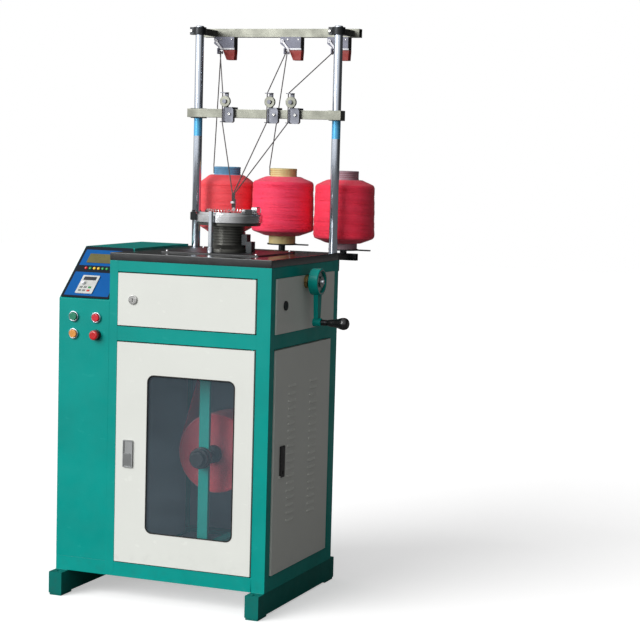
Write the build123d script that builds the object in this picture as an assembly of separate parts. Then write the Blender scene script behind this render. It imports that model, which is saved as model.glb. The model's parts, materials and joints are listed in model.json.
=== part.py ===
from build123d import *
import math
import os

# Circular hat knitting machine: a welded cabinet on two skids, a knitting head on its table,
# a rotating cylinder with its take-down frame below, a hand crank, and a rack for three yarns.
# Millimetres, +X right, -Y front, +Z up. The pieces are placed from the cabinet's middle on the
# floor, and every solid is then moved so that the origin is under the middle of the whole machine.

# Cabinet
WIDTH = 640.0
DEPTH = 490.0
FRAME_HEIGHT = 878.0
TABLE_THICKNESS = 21.0
SHEET = 2.0
PAN_SHEET = 1.5
WALL = 2.5
SEAT_GAP = 0.3

# Skids with their welded foot plates
SKID_WIDTH = 40.0
SKID_HEIGHT = 60.0
SKID_FRONT_REACH = 39.0
SKID_REAR_REACH = 25.0
FOOT_LENGTH = 60.0
FOOT_THICKNESS = 6.0
ANCHOR_RADIUS = 5.5
ANCHOR_FROM_FRONT = 19.0

# Frame tubes
STILE_WIDTH = 40.0
LEFT_STILE_WIDTH = 25.0
FRONT_TUBE_DEPTH = 30.0
REAR_TUBE_DEPTH = 40.0
RAIL_HEIGHT = 40.0
TOP_RAIL_HEIGHT = 30.0
REAR_SILL_HEIGHT = 54.0
UPPER_SECTION = 220.0
JAMB_WIDTH = 15.0

# Pan covers and doors
PAN_DEPTH = 19.0
PAN_PROUD = 4.0
DOOR_GAP = 3.0
HINGE_PIN_RADIUS = 2.5
HINGE_PIN_REACH = 13.0
HINGE_INSET = 11.5
HINGE_DEPTH = 3.0
RUNNING_CLEARANCE = 0.05
WINDOW_FROM_LEFT = 99.0
WINDOW_FROM_RIGHT = 59.0
WINDOW_FROM_BOTTOM = 92.0
WINDOW_FROM_TOP = 90.0
WINDOW_CORNER = 18.0
WINDOW_THICKNESS = 4.0
WINDOW_LAP = 12.0
LOUVRE_COUNT = 19
LOUVRE_PITCH = 20.6
LOUVRE_LENGTH = 44.0
LOUVRE_HEIGHT = 7.0
LOUVRE_SLOT = 3.0
LOUVRE_FROM_TOP = 104.0
LOUVRE_FROM_FRONT = 121.0
LOUVRE_FROM_REAR = 145.0

# Door furniture
HANDLE_FROM_LEFT = 42.5
HANDLE_DROP = 1.5
HANDLE_WIDTH = 30.0
HANDLE_HEIGHT = 76.0
HANDLE_PLATE = 2.0
HANDLE_RIM = 3.0
PADDLE_HEIGHT = 36.0
PADDLE_THICKNESS = 2.4
TRUNNION_RADIUS = 0.8
TRUNNION_REACH = 1.5
LATCH_FROM_FRONT = 57.0
LATCH_DROP = 1.0
LATCH_WIDTH = 28.0
LATCH_HEIGHT = 86.0
LATCH_THICKNESS = 4.7
LATCH_EAR = 2.5
LOCK_RADIUS = 13.0
LOCK_STEM_RADIUS = 9.0
LOCK_PROUD = 4.0
LOCK_TONGUE_LENGTH = 72.0
LOCK_TONGUE_WIDTH = 16.0
LOCK_FROM_LEFT = 50.0
LOCK_FROM_FRONT = 59.0

# Control box with its sloping panel
BOX_WIDTH = 157.0
BOX_RISE = 26.0
SLOPE_RISE = 138.0
SLOPE_RUN = 148.0
FASCIA_THICKNESS = 3.0
FASCIA_MARGIN = 3.0
SCREEN_INSET = 30.0
SCREEN_WIDTH = 92.0
SCREEN_LOW = 135.0
SCREEN_HIGH = 170.0
LAMP_COUNT = 6
LAMP_PITCH = 13.2
LAMP_INSET = 38.0
LAMP_S = 114.0
LAMP_RADIUS = 4.2
KEYPAD_INSET = 43.0
KEYPAD_WIDTH = 53.0
KEYPAD_LOW = 17.0
KEYPAD_HIGH = 85.0
KEYPAD_THICKNESS = 3.0
KNOB_INSET = 13.0
KNOB_LIFT = 35.0
KNOB_RADIUS = 6.0
KNOB_HEIGHT = 7.0
BUTTON_INSETS = (47.5, 117.5)
BUTTON_DROPS = (49.0, 97.0)
BEZEL_RADIUS = 14.75
BEZEL_HEIGHT = 6.0
BUTTON_RADIUS = 10.9
BUTTON_PROUD = 9.0
BUTTON_TRAVEL = 3.0
ESTOP_HEAD_RADIUS = 13.5
ESTOP_HEAD_HEIGHT = 9.0
ESTOP_TRAVEL = 4.0

# Knitting head, on the axis of the cylinder
HEAD_X = 86.0
HEAD_Y = -10.0
BASE_PLATE_TO_LEFT = 148.0
BASE_PLATE_TO_RIGHT = 146.0
BASE_PLATE_TO_FRONT = 125.0
BASE_PLATE_TO_REAR = 135.0
BASE_PLATE_THICKNESS = 4.0
COLUMN_RADIUS = 46.5
COLUMN_BORE = 41.0
COLUMN_FOOT_RADIUS = 59.0
COLUMN_FOOT_HEIGHT = 8.0
COLUMN_HEIGHT = 81.0
COLUMN_TOP_RADIUS = 88.0
COLUMN_TOP_THICKNESS = 8.0
RIDGE_COUNT = 7
RIDGE_DEPTH = 2.0
RING_OUTER = 93.0
RING_INNER = 71.0
RING_HEIGHT = 30.0
BED_RADIUS = 66.0
BED_LIFT = 2.0
BED_HEIGHT = 24.0
CYLINDER_RADIUS = 38.0
CYLINDER_BORE = 33.0
CYLINDER_BELOW_SHAFT = 47.0
CYLINDER_FLANGE_RADIUS = 50.0
CYLINDER_FLANGE_THICKNESS = 8.0
BUSH_HEIGHT = 14.0
FEED_EYE = 6.0
NEEDLE_COUNT = 48
NEEDLE_WIDTH = 1.4
NEEDLE_GROOVE = 1.8
NEEDLE_DEPTH = 3.2
NEEDLE_HEIGHT = 34.0
ROD_RADIUS = 6.5
ROD_ANGLE = 264.3
ROD_GAP = 1.0
RING_CLAMP_ANGLE = 200.0
BRACKET_REACH = 75.0
BRACKET_HEIGHT = 50.0

# Drive
SHAFT_RADIUS = 7.0
RING_TEETH = 60
PINION_TEETH = 24
GEAR_MODULE = 2.0
GEAR_FACE_SHARE = 0.8
GEAR_BACK = 9.0
PINION_BACK = 8.0
TIP_SHARE = 0.22
ROOT_SHARE = 0.41
HANGER_GAP = 16.0
HANGER_WIDTH = 22.0
HANGER_DEPTH = 44.0
HANGER_DROP = 18.0
FLANGE_RADIUS = 19.0
FLANGE_THICKNESS = 10.0
HUB_GAP = 10.0
HUB_THICKNESS = 27.0
HUB_RADIUS = 37.0
CRANK_THROW = 112.0
CRANK_BOSS_RADIUS = 12.0
CRANK_BOSS_START = 4.0
CRANK_BOSS_LENGTH = 24.0
CRANK_PIN_RADIUS = 5.0
GRIP_GAP = 19.0
GRIP_LENGTH = 62.0
GRIP_RADIUS = 17.0
PULLEY_INSET = 30.0
PULLEY_HEADROOM = 2.0
PULLEY_WIDTH = 16.0
PULLEY_RADIUS = 40.0
MOTOR_PULLEY_RADIUS = 22.0
PULLEY_RIM = 5.0
BELT_WIDTH = 9.0
BELT_THICKNESS = 4.0
MOTOR_GAP = 12.0
MOTOR_LENGTH = 118.0
MOTOR_FROM_REAR = 20.0
MOTOR_RADIUS = 44.0
MOTOR_FOOT = 10.0
MOTOR_FOOT_INSET = 20.0
MOTOR_FOOT_REACH = 34.0
MOTOR_WEB_INSET = 30.0
MOTOR_WEB_REACH = 16.0
MOTOR_SHAFT_RADIUS = 8.0

# Rotating take-down frame and its reel
YOKE_REACH = 138.0
YOKE_BAR_WIDTH = 30.0
YOKE_BAR_THICKNESS = 12.0
YOKE_LIFT = 34.0
PIVOT_RADIUS = 10.0
PIVOT_BLOCK_RADIUS = 25.0
PIVOT_BLOCK_HEIGHT = 26.0
PIVOT_SEAT = 4.0
REEL_LIFT = 264.0
REEL_RADIUS = 112.0
REEL_LENGTH = 136.0
REEL_SHAFT_RADIUS = 9.0
REEL_NOSE = 46.0
REEL_TAIL = 8.0
REEL_CAP_RADIUS = 20.0
REEL_CAP_LENGTH = 6.0
REEL_COLLAR_RADIUS = 28.0
REEL_COLLAR_START = 12.0
REEL_COLLAR_LENGTH = 8.0
REEL_HUB_START = 26.0
REEL_HUB_LENGTH = 14.0
REEL_SPACER_RADIUS = 25.0
REEL_SPACER_LENGTH = 15.7
WEB_THICKNESS = 4.0
WEB_WIDTH = 110.0

# Rack
POST_FROM_LEFT = 6.0
POST_FROM_RIGHT = 13.5
POST_FROM_REAR = 14.0
POST_RADIUS = 12.5
POST_HEIGHT = 649.0
BAR_SIZE = 25.0
BAR_SPACING = 242.0
UPPER_BAR_DROP = 26.0
UPPER_BAR_REACH = 104.0
UPPER_BAR_OVERHANGS = (38.0, 23.5)
LOWER_BAR_OVERHANGS = (18.0, 25.5)
ARM_WIDTH = 14.0
CLAMP_WALL = 6.5
CLAMP_HEIGHT = 22.0
CLAMP_LUG = 10.0
CLAMP_SEAT = 1.5
CAP_LENGTH = 38.0
CAP_WALL = 3.0
DETECTOR_X = (-127.0, 88.0, 237.0)
DETECTOR_WIDTH = 68.0
DETECTOR_DEPTH = 24.0
DETECTOR_HEIGHT = 38.0
DETECTOR_EAR = 14.0
LENS_HEIGHT = 30.0
LENS_WIDTH = 40.0
LEVER_LENGTH = 34.0
PIN_RADIUS = 2.6
PIN_REACH = 6.0
TENSIONER_X = (-13.0, 128.0, 194.0)
TENSIONER_WIDTH = 34.0
TENSIONER_DEPTH = 12.0
DISC_RADIUS = 16.0
DISC_THICKNESS = 2.0
DISC_LIFT = 22.0
DISC_SPLIT = 3.5
YARN_EYE = 4.5
STUD_RADIUS = 3.0

# Yarn packages on their rail behind the table
CONE_X = (-88.0, 96.0, 293.0)
CONE_REACH = 105.0
TUBE_LIFTS = (14.0, 14.0, 6.0)
TUBE_HEIGHTS = (223.0, 223.0, 229.0)
TUBE_RADIUS = 40.0
TUBE_WALL = 4.0
PACKAGE_RADIUS = (85.0, 94.0, 91.0)
PACKAGE_LIFTS = (25.0, 23.0, 17.0)
PACKAGE_HEIGHTS = (174.0, 176.0, 186.0)
PACKAGE_SHOULDER = (26.0, 20.0, 20.0)
PACKAGE_END_RADIUS = 52.0
CREEL_RAIL = 20.0
CREEL_RAIL_WALL = 2.0
CREEL_DROP = 6.0
CREEL_ARM_INSETS = (58.0, 10.0)
CREEL_ARM_OVERHANGS = (32.0, 26.0)
CREEL_CONE_OVERHANGS = (24.0, 43.0)
CREEL_ARM_WIDTH = 20.0
CREEL_ARM_THICKNESS = 12.0
CREEL_PLATE_HEIGHT = 46.0
CREEL_PLATE_THICKNESS = 6.0
CREEL_BOLT_DROP = 34.0
CREEL_BOLT_RADIUS = 6.0
SEAT_RADIUS = 44.0
SEAT_THICKNESS = 4.0
SEAT_TONGUE_LENGTH = 84.0
SEAT_TONGUE_WIDTH = 10.0
PLUG_HEIGHT = 12.0
PEG_RADIUS = 10.0
PEG_HEIGHT = 150.0
YARN_RADIUS = 1.6

# Sizes worked out from the ones above: the cabinet
FRAME_Z = FOOT_THICKNESS + SKID_HEIGHT
FRAME_TOP = FRAME_Z + FRAME_HEIGHT
TABLE_Z = FRAME_TOP + TABLE_THICKNESS
FRONT = -DEPTH / 2
REAR = DEPTH / 2
LEFT = -WIDTH / 2
RIGHT = WIDTH / 2
LEFT_STILE_X = LEFT + BOX_WIDTH
OPEN_LEFT = LEFT_STILE_X + LEFT_STILE_WIDTH
OPEN_RIGHT = RIGHT - STILE_WIDTH
SIDE_FRONT = FRONT + FRONT_TUBE_DEPTH
SIDE_REAR = REAR - REAR_TUBE_DEPTH
MID_RAIL_Z = FRAME_TOP - UPPER_SECTION
DOOR_BOTTOM = FRAME_Z + RAIL_HEIGHT
DOOR_MIDDLE = (DOOR_BOTTOM + MID_RAIL_Z) / 2
COVER_BOTTOM = MID_RAIL_Z + RAIL_HEIGHT
COVER_TOP = FRAME_TOP - TOP_RAIL_HEIGHT
LOCK_Z = (COVER_BOTTOM + COVER_TOP) / 2
WINDOW_LEFT = OPEN_LEFT + WINDOW_FROM_LEFT
WINDOW_RIGHT = OPEN_RIGHT - WINDOW_FROM_RIGHT
WINDOW_BOTTOM = DOOR_BOTTOM + WINDOW_FROM_BOTTOM
WINDOW_TOP = MID_RAIL_Z - WINDOW_FROM_TOP
LOUVRE_TOP_Z = MID_RAIL_Z - LOUVRE_FROM_TOP
LOUVRE_COLUMNS = (SIDE_FRONT + LOUVRE_FROM_FRONT, SIDE_REAR - LOUVRE_FROM_REAR)
HANDLE_X = OPEN_LEFT + HANDLE_FROM_LEFT
HANDLE_Z = DOOR_MIDDLE - HANDLE_DROP
LATCH_Y = SIDE_FRONT + LATCH_FROM_FRONT
LATCH_Z = DOOR_MIDDLE - LATCH_DROP
BOX_TOP = FRAME_TOP + BOX_RISE
SLOPE_BOTTOM_Z = BOX_TOP - SLOPE_RISE
SCREEN_LEFT = LEFT + SCREEN_INSET
LAMP_FIRST_X = LEFT + LAMP_INSET
KEYPAD_LEFT = LEFT + KEYPAD_INSET
KNOB_X = KEYPAD_LEFT + KNOB_INSET
KNOB_S = KEYPAD_LOW + KNOB_LIFT
BUTTON_COLUMNS = tuple(LEFT + inset for inset in BUTTON_INSETS)
BUTTON_ROWS = tuple(SLOPE_BOTTOM_Z - drop for drop in BUTTON_DROPS)

# The head, the drive and the take-down
BASE_PLATE_TOP = TABLE_Z + BASE_PLATE_THICKNESS
COLUMN_TOP_Z = BASE_PLATE_TOP + COLUMN_HEIGHT
RING_TOP = COLUMN_TOP_Z + RING_HEIGHT
BED_Z = COLUMN_TOP_Z + BED_LIFT
PITCH_RING = GEAR_MODULE * RING_TEETH / 2
PITCH_PINION = GEAR_MODULE * PINION_TEETH / 2
SHAFT_Z = FRAME_TOP - PULLEY_HEADROOM - PULLEY_RADIUS - PULLEY_RIM
HANGER_X = HEAD_X + PITCH_RING + PINION_BACK + HANGER_GAP
HUB_X = RIGHT + PAN_PROUD + FLANGE_THICKNESS + HUB_GAP
GRIP_START = HUB_X + HUB_THICKNESS + GRIP_GAP
GRIP_END = GRIP_START + GRIP_LENGTH
CRANK_Z = SHAFT_Z - CRANK_THROW
PULLEY_X = OPEN_RIGHT - PULLEY_INSET
MOTOR_X = PULLEY_X - MOTOR_GAP - MOTOR_LENGTH
MOTOR_Y = SIDE_REAR - MOTOR_FROM_REAR
CYLINDER_BOTTOM_Z = SHAFT_Z - CYLINDER_BELOW_SHAFT
YOKE_FRONT = HEAD_Y - YOKE_REACH
YOKE_REAR = HEAD_Y + YOKE_REACH
YOKE_BOTTOM_Z = DOOR_BOTTOM + YOKE_LIFT
REEL_Z = YOKE_BOTTOM_Z + REEL_LIFT
REEL_FRONT = HEAD_Y - REEL_LENGTH / 2
REEL_BACK = HEAD_Y + REEL_LENGTH / 2

# The rack, the creel and the frame of the whole machine
POST_X = (OPEN_LEFT + POST_FROM_LEFT, RIGHT - POST_FROM_RIGHT)
POST_Y = REAR - POST_FROM_REAR
POST_TOP_Z = TABLE_Z + POST_HEIGHT
UPPER_BAR_Z = POST_TOP_Z - UPPER_BAR_DROP
LOWER_BAR_Z = UPPER_BAR_Z - BAR_SPACING
UPPER_BAR_Y = POST_Y + UPPER_BAR_REACH
LOWER_BAR_Y = POST_Y - POST_RADIUS - CLAMP_SEAT - BAR_SIZE
UPPER_BAR_ENDS = (POST_X[0] - UPPER_BAR_OVERHANGS[0], POST_X[1] + UPPER_BAR_OVERHANGS[1])
LOWER_BAR_ENDS = (POST_X[0] - LOWER_BAR_OVERHANGS[0], POST_X[1] + LOWER_BAR_OVERHANGS[1])
CONE_Y = REAR + CONE_REACH
CONE_BACK = CONE_Y + max(PACKAGE_RADIUS)
TUBE_BOTTOM_Z = tuple(TABLE_Z + lift for lift in TUBE_LIFTS)
TUBE_TOP_Z = tuple(low + height for low, height in zip(TUBE_BOTTOM_Z, TUBE_HEIGHTS))
PACKAGE_BOTTOM_Z = tuple(low + lift for low, lift in zip(TUBE_BOTTOM_Z, PACKAGE_LIFTS))
PACKAGE_TOP_Z = tuple(low + height for low, height in zip(PACKAGE_BOTTOM_Z, PACKAGE_HEIGHTS))
CREEL_RAIL_Z = FRAME_TOP - CREEL_DROP
CREEL_ARMS_X = (OPEN_LEFT + CREEL_ARM_INSETS[0], RIGHT - CREEL_ARM_INSETS[1])
CREEL_RAIL_ENDS = (
    min(CREEL_ARMS_X[0] - CREEL_ARM_OVERHANGS[0], CONE_X[0] - CREEL_CONE_OVERHANGS[0]),
    max(CREEL_ARMS_X[1] + CREEL_ARM_OVERHANGS[1], CONE_X[2] + CREEL_CONE_OVERHANGS[1]),
)
ORIGIN_X = (LEFT + GRIP_END) / 2
ORIGIN_Y = (FRONT - SKID_FRONT_REACH + CONE_BACK) / 2

PARTS = {}


def block(x0, x1, y0, y1, z0, z1):
    """A box from its low and high faces."""
    return Pos(x0, y0, z0) * Box(x1 - x0, y1 - y0, z1 - z0, align=(Align.MIN,) * 3)


def rod(axis, at, radius, length):
    """A cylinder that starts at a point and runs along +X, +Y or +Z."""
    turn = {"x": Rot(0, 90, 0), "y": Rot(-90, 0, 0), "z": Rot(0, 0, 0)}[axis]
    return Pos(*at) * turn * Cylinder(radius, length, align=(Align.CENTER, Align.CENTER, Align.MIN))


def ring(axis, at, outer, inner, length):
    """A tube that starts at a point and runs along +X, +Y or +Z."""
    return rod(axis, at, outer, length) - rod(axis, at, inner, length)


def tube(axis, x0, x1, y0, y1, z0, z1, wall=WALL):
    """A rectangular tube, open at both ends along one axis."""
    cut = {"x": (0, wall, wall), "y": (wall, 0, wall), "z": (wall, wall, 0)}[axis]
    hollow = block(x0 + cut[0], x1 - cut[0], y0 + cut[1], y1 - cut[1], z0 + cut[2], z1 - cut[2])
    return block(x0, x1, y0, y1, z0, z1) - hollow


def turned(profile, x=0.0, y=0.0):
    """A body of revolution about a vertical line, from (radius, height) points."""
    face = make_face(Polyline(*[(r, 0, z) for r, z in profile], close=True))
    return Pos(x, y, 0) * revolve(face, Axis.Z)


def keep(name, *solids):
    """Stores a piece, moved to the frame with its origin under the machine's middle."""
    moved = [Pos(-ORIGIN_X, -ORIGIN_Y, 0) * s for s in solids]
    flat = [s for m in moved for s in m.solids()]
    PARTS[name] = flat[0] if len(flat) == 1 else Compound(children=flat)


def skids():
    """Two skid tubes with closed fronts and welded foot plates."""
    y0 = FRONT - SKID_FRONT_REACH
    y1 = REAR + SKID_REAR_REACH
    pieces = []
    for x0 in (LEFT, RIGHT - SKID_WIDTH):
        body = block(x0, x0 + SKID_WIDTH, y0, y1, FOOT_THICKNESS, FRAME_Z)
        body -= block(
            x0 + WALL, x0 + SKID_WIDTH - WALL, y0 + WALL, y1, FOOT_THICKNESS + WALL, FRAME_Z - WALL
        )
        anchor = (x0 + SKID_WIDTH / 2, y0 + ANCHOR_FROM_FRONT, 0)
        body -= rod("z", anchor, ANCHOR_RADIUS, FRAME_Z)
        for start in (y0 + 2, y1 - FOOT_LENGTH - 2):
            foot = block(x0 + 2, x0 + SKID_WIDTH - 2, start, start + FOOT_LENGTH, 0, FOOT_THICKNESS)
            body += foot - rod("z", anchor, ANCHOR_RADIUS, FOOT_THICKNESS)
        pieces.append(body)
    keep("skids", *pieces)


def hinge_pins(top_z, bottom_z, x, y):
    """Two pins that stand in from the rails above and below a door."""
    upper = rod("z", (x, y, top_z - HINGE_PIN_REACH), HINGE_PIN_RADIUS, HINGE_PIN_REACH)
    lower = rod("z", (x, y, bottom_z), HINGE_PIN_RADIUS, HINGE_PIN_REACH)
    return [upper, lower]


def cabinet_frame():
    """The welded frame: one solid for each tube, with the hinge pins on its rails."""
    lx0, lx1 = LEFT_STILE_X, OPEN_LEFT
    rx0, rx1 = OPEN_RIGHT, RIGHT
    fy0, fy1 = FRONT, SIDE_FRONT
    ry0, ry1 = SIDE_REAR, REAR
    tubes = [
        tube("z", lx0, lx1, fy0, fy1, FRAME_Z, FRAME_TOP),
        tube("z", rx0, rx1, fy0, fy1, FRAME_Z, FRAME_TOP),
        tube("z", lx0, lx1, ry0, ry1, FRAME_Z, FRAME_TOP),
        tube("z", rx0, rx1, ry0, ry1, FRAME_Z, FRAME_TOP),
        tube("x", lx1, rx0, fy0, fy1, COVER_TOP, FRAME_TOP),
        tube("x", lx1, rx0, fy0, fy1, MID_RAIL_Z, COVER_BOTTOM),
        tube("x", lx1, rx0, fy0, fy1, FRAME_Z, DOOR_BOTTOM),
        tube("x", lx1, rx0, ry0, ry1, COVER_TOP, FRAME_TOP),
        tube("x", lx1, rx0, ry0, ry1, FRAME_Z, FRAME_Z + REAR_SILL_HEIGHT),
        tube("y", rx0, rx1, fy1, ry0, COVER_TOP, FRAME_TOP),
        tube("y", rx0, rx1, fy1, ry0, MID_RAIL_Z, COVER_BOTTOM),
        tube("y", rx0, rx1, fy1, ry0, FRAME_Z, DOOR_BOTTOM),
        tube("y", lx0, lx1, fy1, ry0, COVER_TOP, FRAME_TOP),
        tube("y", lx0, lx1, fy1, ry0, FRAME_Z, DOOR_BOTTOM),
        tube("x", LEFT, lx0, fy0, fy1, FRAME_Z, DOOR_BOTTOM),
        tube("x", LEFT, lx0, ry0, ry1, FRAME_Z, DOOR_BOTTOM),
        tube("y", LEFT, LEFT + STILE_WIDTH, fy1, ry0, FRAME_Z, DOOR_BOTTOM),
        tube("x", lx1, rx0, HEAD_Y - 30, HEAD_Y + 30, FRAME_Z, DOOR_BOTTOM),
        tube("x", lx1, rx0, SIDE_REAR - 34, SIDE_REAR, FRAME_Z, DOOR_BOTTOM),
        block(rx0 + 10, rx1, ry0 - JAMB_WIDTH, ry0, DOOR_BOTTOM, MID_RAIL_Z),
    ]
    pins = hinge_pins(MID_RAIL_Z, DOOR_BOTTOM, *front_hinge())
    pins += hinge_pins(COVER_TOP, COVER_BOTTOM, *front_hinge())
    pins += hinge_pins(MID_RAIL_Z, DOOR_BOTTOM, *side_hinge())
    keep("cabinet_frame", *tubes, *pins)


def front_hinge():
    """The vertical line that the front door and the upper cover turn about."""
    return OPEN_RIGHT - HINGE_INSET, FRONT + HINGE_DEPTH


def side_hinge():
    """The vertical line that the side door turns about."""
    return RIGHT - HINGE_DEPTH, SIDE_REAR - JAMB_WIDTH - HINGE_INSET


def inner_panels():
    """Rear panel, partition towards the control box, and floor sheet, as plain sheets."""
    rear = block(OPEN_LEFT, OPEN_RIGHT, REAR - 4, REAR - 2, FRAME_Z + REAR_SILL_HEIGHT, COVER_TOP)
    for row in range(6):
        z = COVER_TOP - 90 - 22 * row
        rear -= block(HEAD_X - 60, HEAD_X + 60, REAR - 10, REAR, z, z + 6)
    front = SIDE_FRONT + LOCK_TONGUE_WIDTH
    partition = block(OPEN_LEFT, OPEN_LEFT + PAN_SHEET, front, SIDE_REAR, DOOR_BOTTOM, COVER_TOP)
    floor_y0 = HEAD_Y + 30
    floor = block(OPEN_LEFT + 20, OPEN_RIGHT, floor_y0, SIDE_REAR, DOOR_BOTTOM, DOOR_BOTTOM + SHEET)
    keep("inner_panels", rear, partition, floor)


def table_top():
    """The black table slab, with the clearance hole for the cylinder."""
    slab = block(LEFT_STILE_X, RIGHT, FRONT, REAR, FRAME_TOP, TABLE_Z)
    slab -= rod("z", (HEAD_X, HEAD_Y, FRAME_TOP), COLUMN_BORE + 3, TABLE_THICKNESS)
    slab = fillet(slab.edges().filter_by(Axis.Z).group_by(Axis.X)[-1], 3)
    keep("table_top", slab)


def pan(width, height, depth=PAN_DEPTH):
    """A sheet pan in its own frame: outer face at y=0, folded edges towards +Y, corner at the origin."""
    body = block(0, width, 0, depth, 0, height)
    body = fillet(body.edges().filter_by(Axis.Z).group_by(Axis.Y)[0], 1.2)
    inner = block(
        PAN_SHEET, width - PAN_SHEET, PAN_SHEET, depth, PAN_SHEET, height - PAN_SHEET
    )
    return body - inner


def front_pan(z0, z1):
    """A hinged pan in a front opening, with holes for its two pins."""
    x0 = OPEN_LEFT + DOOR_GAP
    x1 = OPEN_RIGHT - DOOR_GAP
    body = Pos(x0, FRONT - PAN_PROUD, z0 + DOOR_GAP) * pan(x1 - x0, z1 - z0 - 2 * DOOR_GAP)
    x, y = front_hinge()
    return body - rod("z", (x, y, z0), HINGE_PIN_RADIUS + RUNNING_CLEARANCE, z1 - z0)


def window_cut(y0, y1, grow=0.0):
    """The rounded window prism between two depths."""
    width = WINDOW_RIGHT - WINDOW_LEFT + 2 * grow
    height = WINDOW_TOP - WINDOW_BOTTOM + 2 * grow
    centre = ((WINDOW_LEFT + WINDOW_RIGHT) / 2, y0, (WINDOW_BOTTOM + WINDOW_TOP) / 2)
    face = Plane(origin=centre, x_dir=(1, 0, 0), z_dir=(0, 1, 0)) * RectangleRounded(
        width, height, WINDOW_CORNER
    )
    return extrude(face, y1 - y0)


def front_door():
    """The windowed door, its pane, its flush handle plate and the paddle in it."""
    outer = FRONT - PAN_PROUD
    door = front_pan(DOOR_BOTTOM, MID_RAIL_Z) - window_cut(outer - 1, outer + 3)
    keep("front_door", door)
    inner = outer + PAN_SHEET
    keep("door_window", window_cut(inner, inner + WINDOW_THICKNESS, WINDOW_LAP))
    x0 = HANDLE_X - HANDLE_WIDTH / 2
    z0 = HANDLE_Z - HANDLE_HEIGHT / 2
    top = outer - HANDLE_PLATE - HANDLE_RIM
    plate = block(x0, x0 + HANDLE_WIDTH, top, outer, z0, z0 + HANDLE_HEIGHT)
    plate = fillet(plate.edges().filter_by(Axis.Y), 3)
    well_x0 = x0 + HANDLE_RIM
    well_x1 = x0 + HANDLE_WIDTH - HANDLE_RIM
    well_z0 = z0 + HANDLE_RIM
    well_z1 = z0 + HANDLE_HEIGHT - HANDLE_RIM
    plate -= block(well_x0, well_x1, top, outer - HANDLE_PLATE, well_z0, well_z1)
    pin_x, pin_y, pin_z = paddle_hinge()
    socket = TRUNNION_REACH + SEAT_GAP
    socket_length = well_x1 - well_x0 + 2 * socket
    plate -= rod("x", (well_x0 - socket, pin_y, pin_z), TRUNNION_RADIUS + RUNNING_CLEARANCE, socket_length)
    keep("handle_plate", plate)
    paddle = block(
        well_x0 + SEAT_GAP, well_x1 - SEAT_GAP,
        pin_y - PADDLE_THICKNESS / 2, pin_y + PADDLE_THICKNESS / 2,
        pin_z - PADDLE_HEIGHT + PADDLE_THICKNESS, pin_z + PADDLE_THICKNESS / 2,
    )
    paddle = fillet(paddle.edges().filter_by(Axis.X), PADDLE_THICKNESS / 2 - 0.1)
    pin_length = well_x1 - well_x0 + 2 * TRUNNION_REACH
    paddle += rod("x", (well_x0 - TRUNNION_REACH, pin_y, pin_z), TRUNNION_RADIUS, pin_length)
    keep("handle_paddle", paddle)


def paddle_hinge():
    """The line that the door's paddle tilts about: a point and the row's +X."""
    y = FRONT - PAN_PROUD - HANDLE_PLATE - SEAT_GAP - PADDLE_THICKNESS / 2
    return HANDLE_X, y, HANDLE_Z


def front_lock_at():
    """The middle of the upper cover's lock, on the cover's face."""
    return OPEN_LEFT + LOCK_FROM_LEFT, FRONT - PAN_PROUD, LOCK_Z


def side_lock_at():
    """The middle of the side cover's lock, on the cover's face."""
    return RIGHT + PAN_PROUD, SIDE_FRONT + LOCK_FROM_FRONT, LOCK_Z


def lock_barrel(reach):
    """A cam lock in its own frame: it points along -Y, the face at y=0, the tongue upright inside."""
    barrel = Pos(0, -LOCK_PROUD, 0) * rod("y", (0, 0, 0), LOCK_RADIUS, LOCK_PROUD - SEAT_GAP)
    barrel = fillet(barrel.edges().group_by(Axis.Y)[0], 1.2)
    barrel += rod("y", (0, -SEAT_GAP, 0), LOCK_STEM_RADIUS, reach)
    half = LOCK_TONGUE_WIDTH / 2
    barrel += block(-half, half, reach - 4, reach, -half, LOCK_TONGUE_LENGTH - half)
    barrel -= block(-1.2, 1.2, -LOCK_PROUD, -LOCK_PROUD + 2, -5, 5)
    return barrel


def upper_cover():
    """The hinged cover over the drive, with its turning lock."""
    x, y, z = front_lock_at()
    hole = rod("y", (x, y - 1, z), LOCK_STEM_RADIUS + SEAT_GAP, 4)
    keep("upper_cover", front_pan(COVER_BOTTOM, COVER_TOP) - hole)
    keep("upper_cover_lock", Pos(x, y, z) * lock_barrel(PAN_PROUD + FRONT_TUBE_DEPTH + 6))


def side_pan(y0, y1, z0, z1, gap):
    """A pan in a side opening, its outer face towards +X."""
    flat = pan(y1 - y0 - 2 * gap, z1 - z0 - 2 * gap)
    return Pos(RIGHT + PAN_PROUD, y0 + gap, z0 + gap) * Rot(0, 0, 90) * flat


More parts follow.
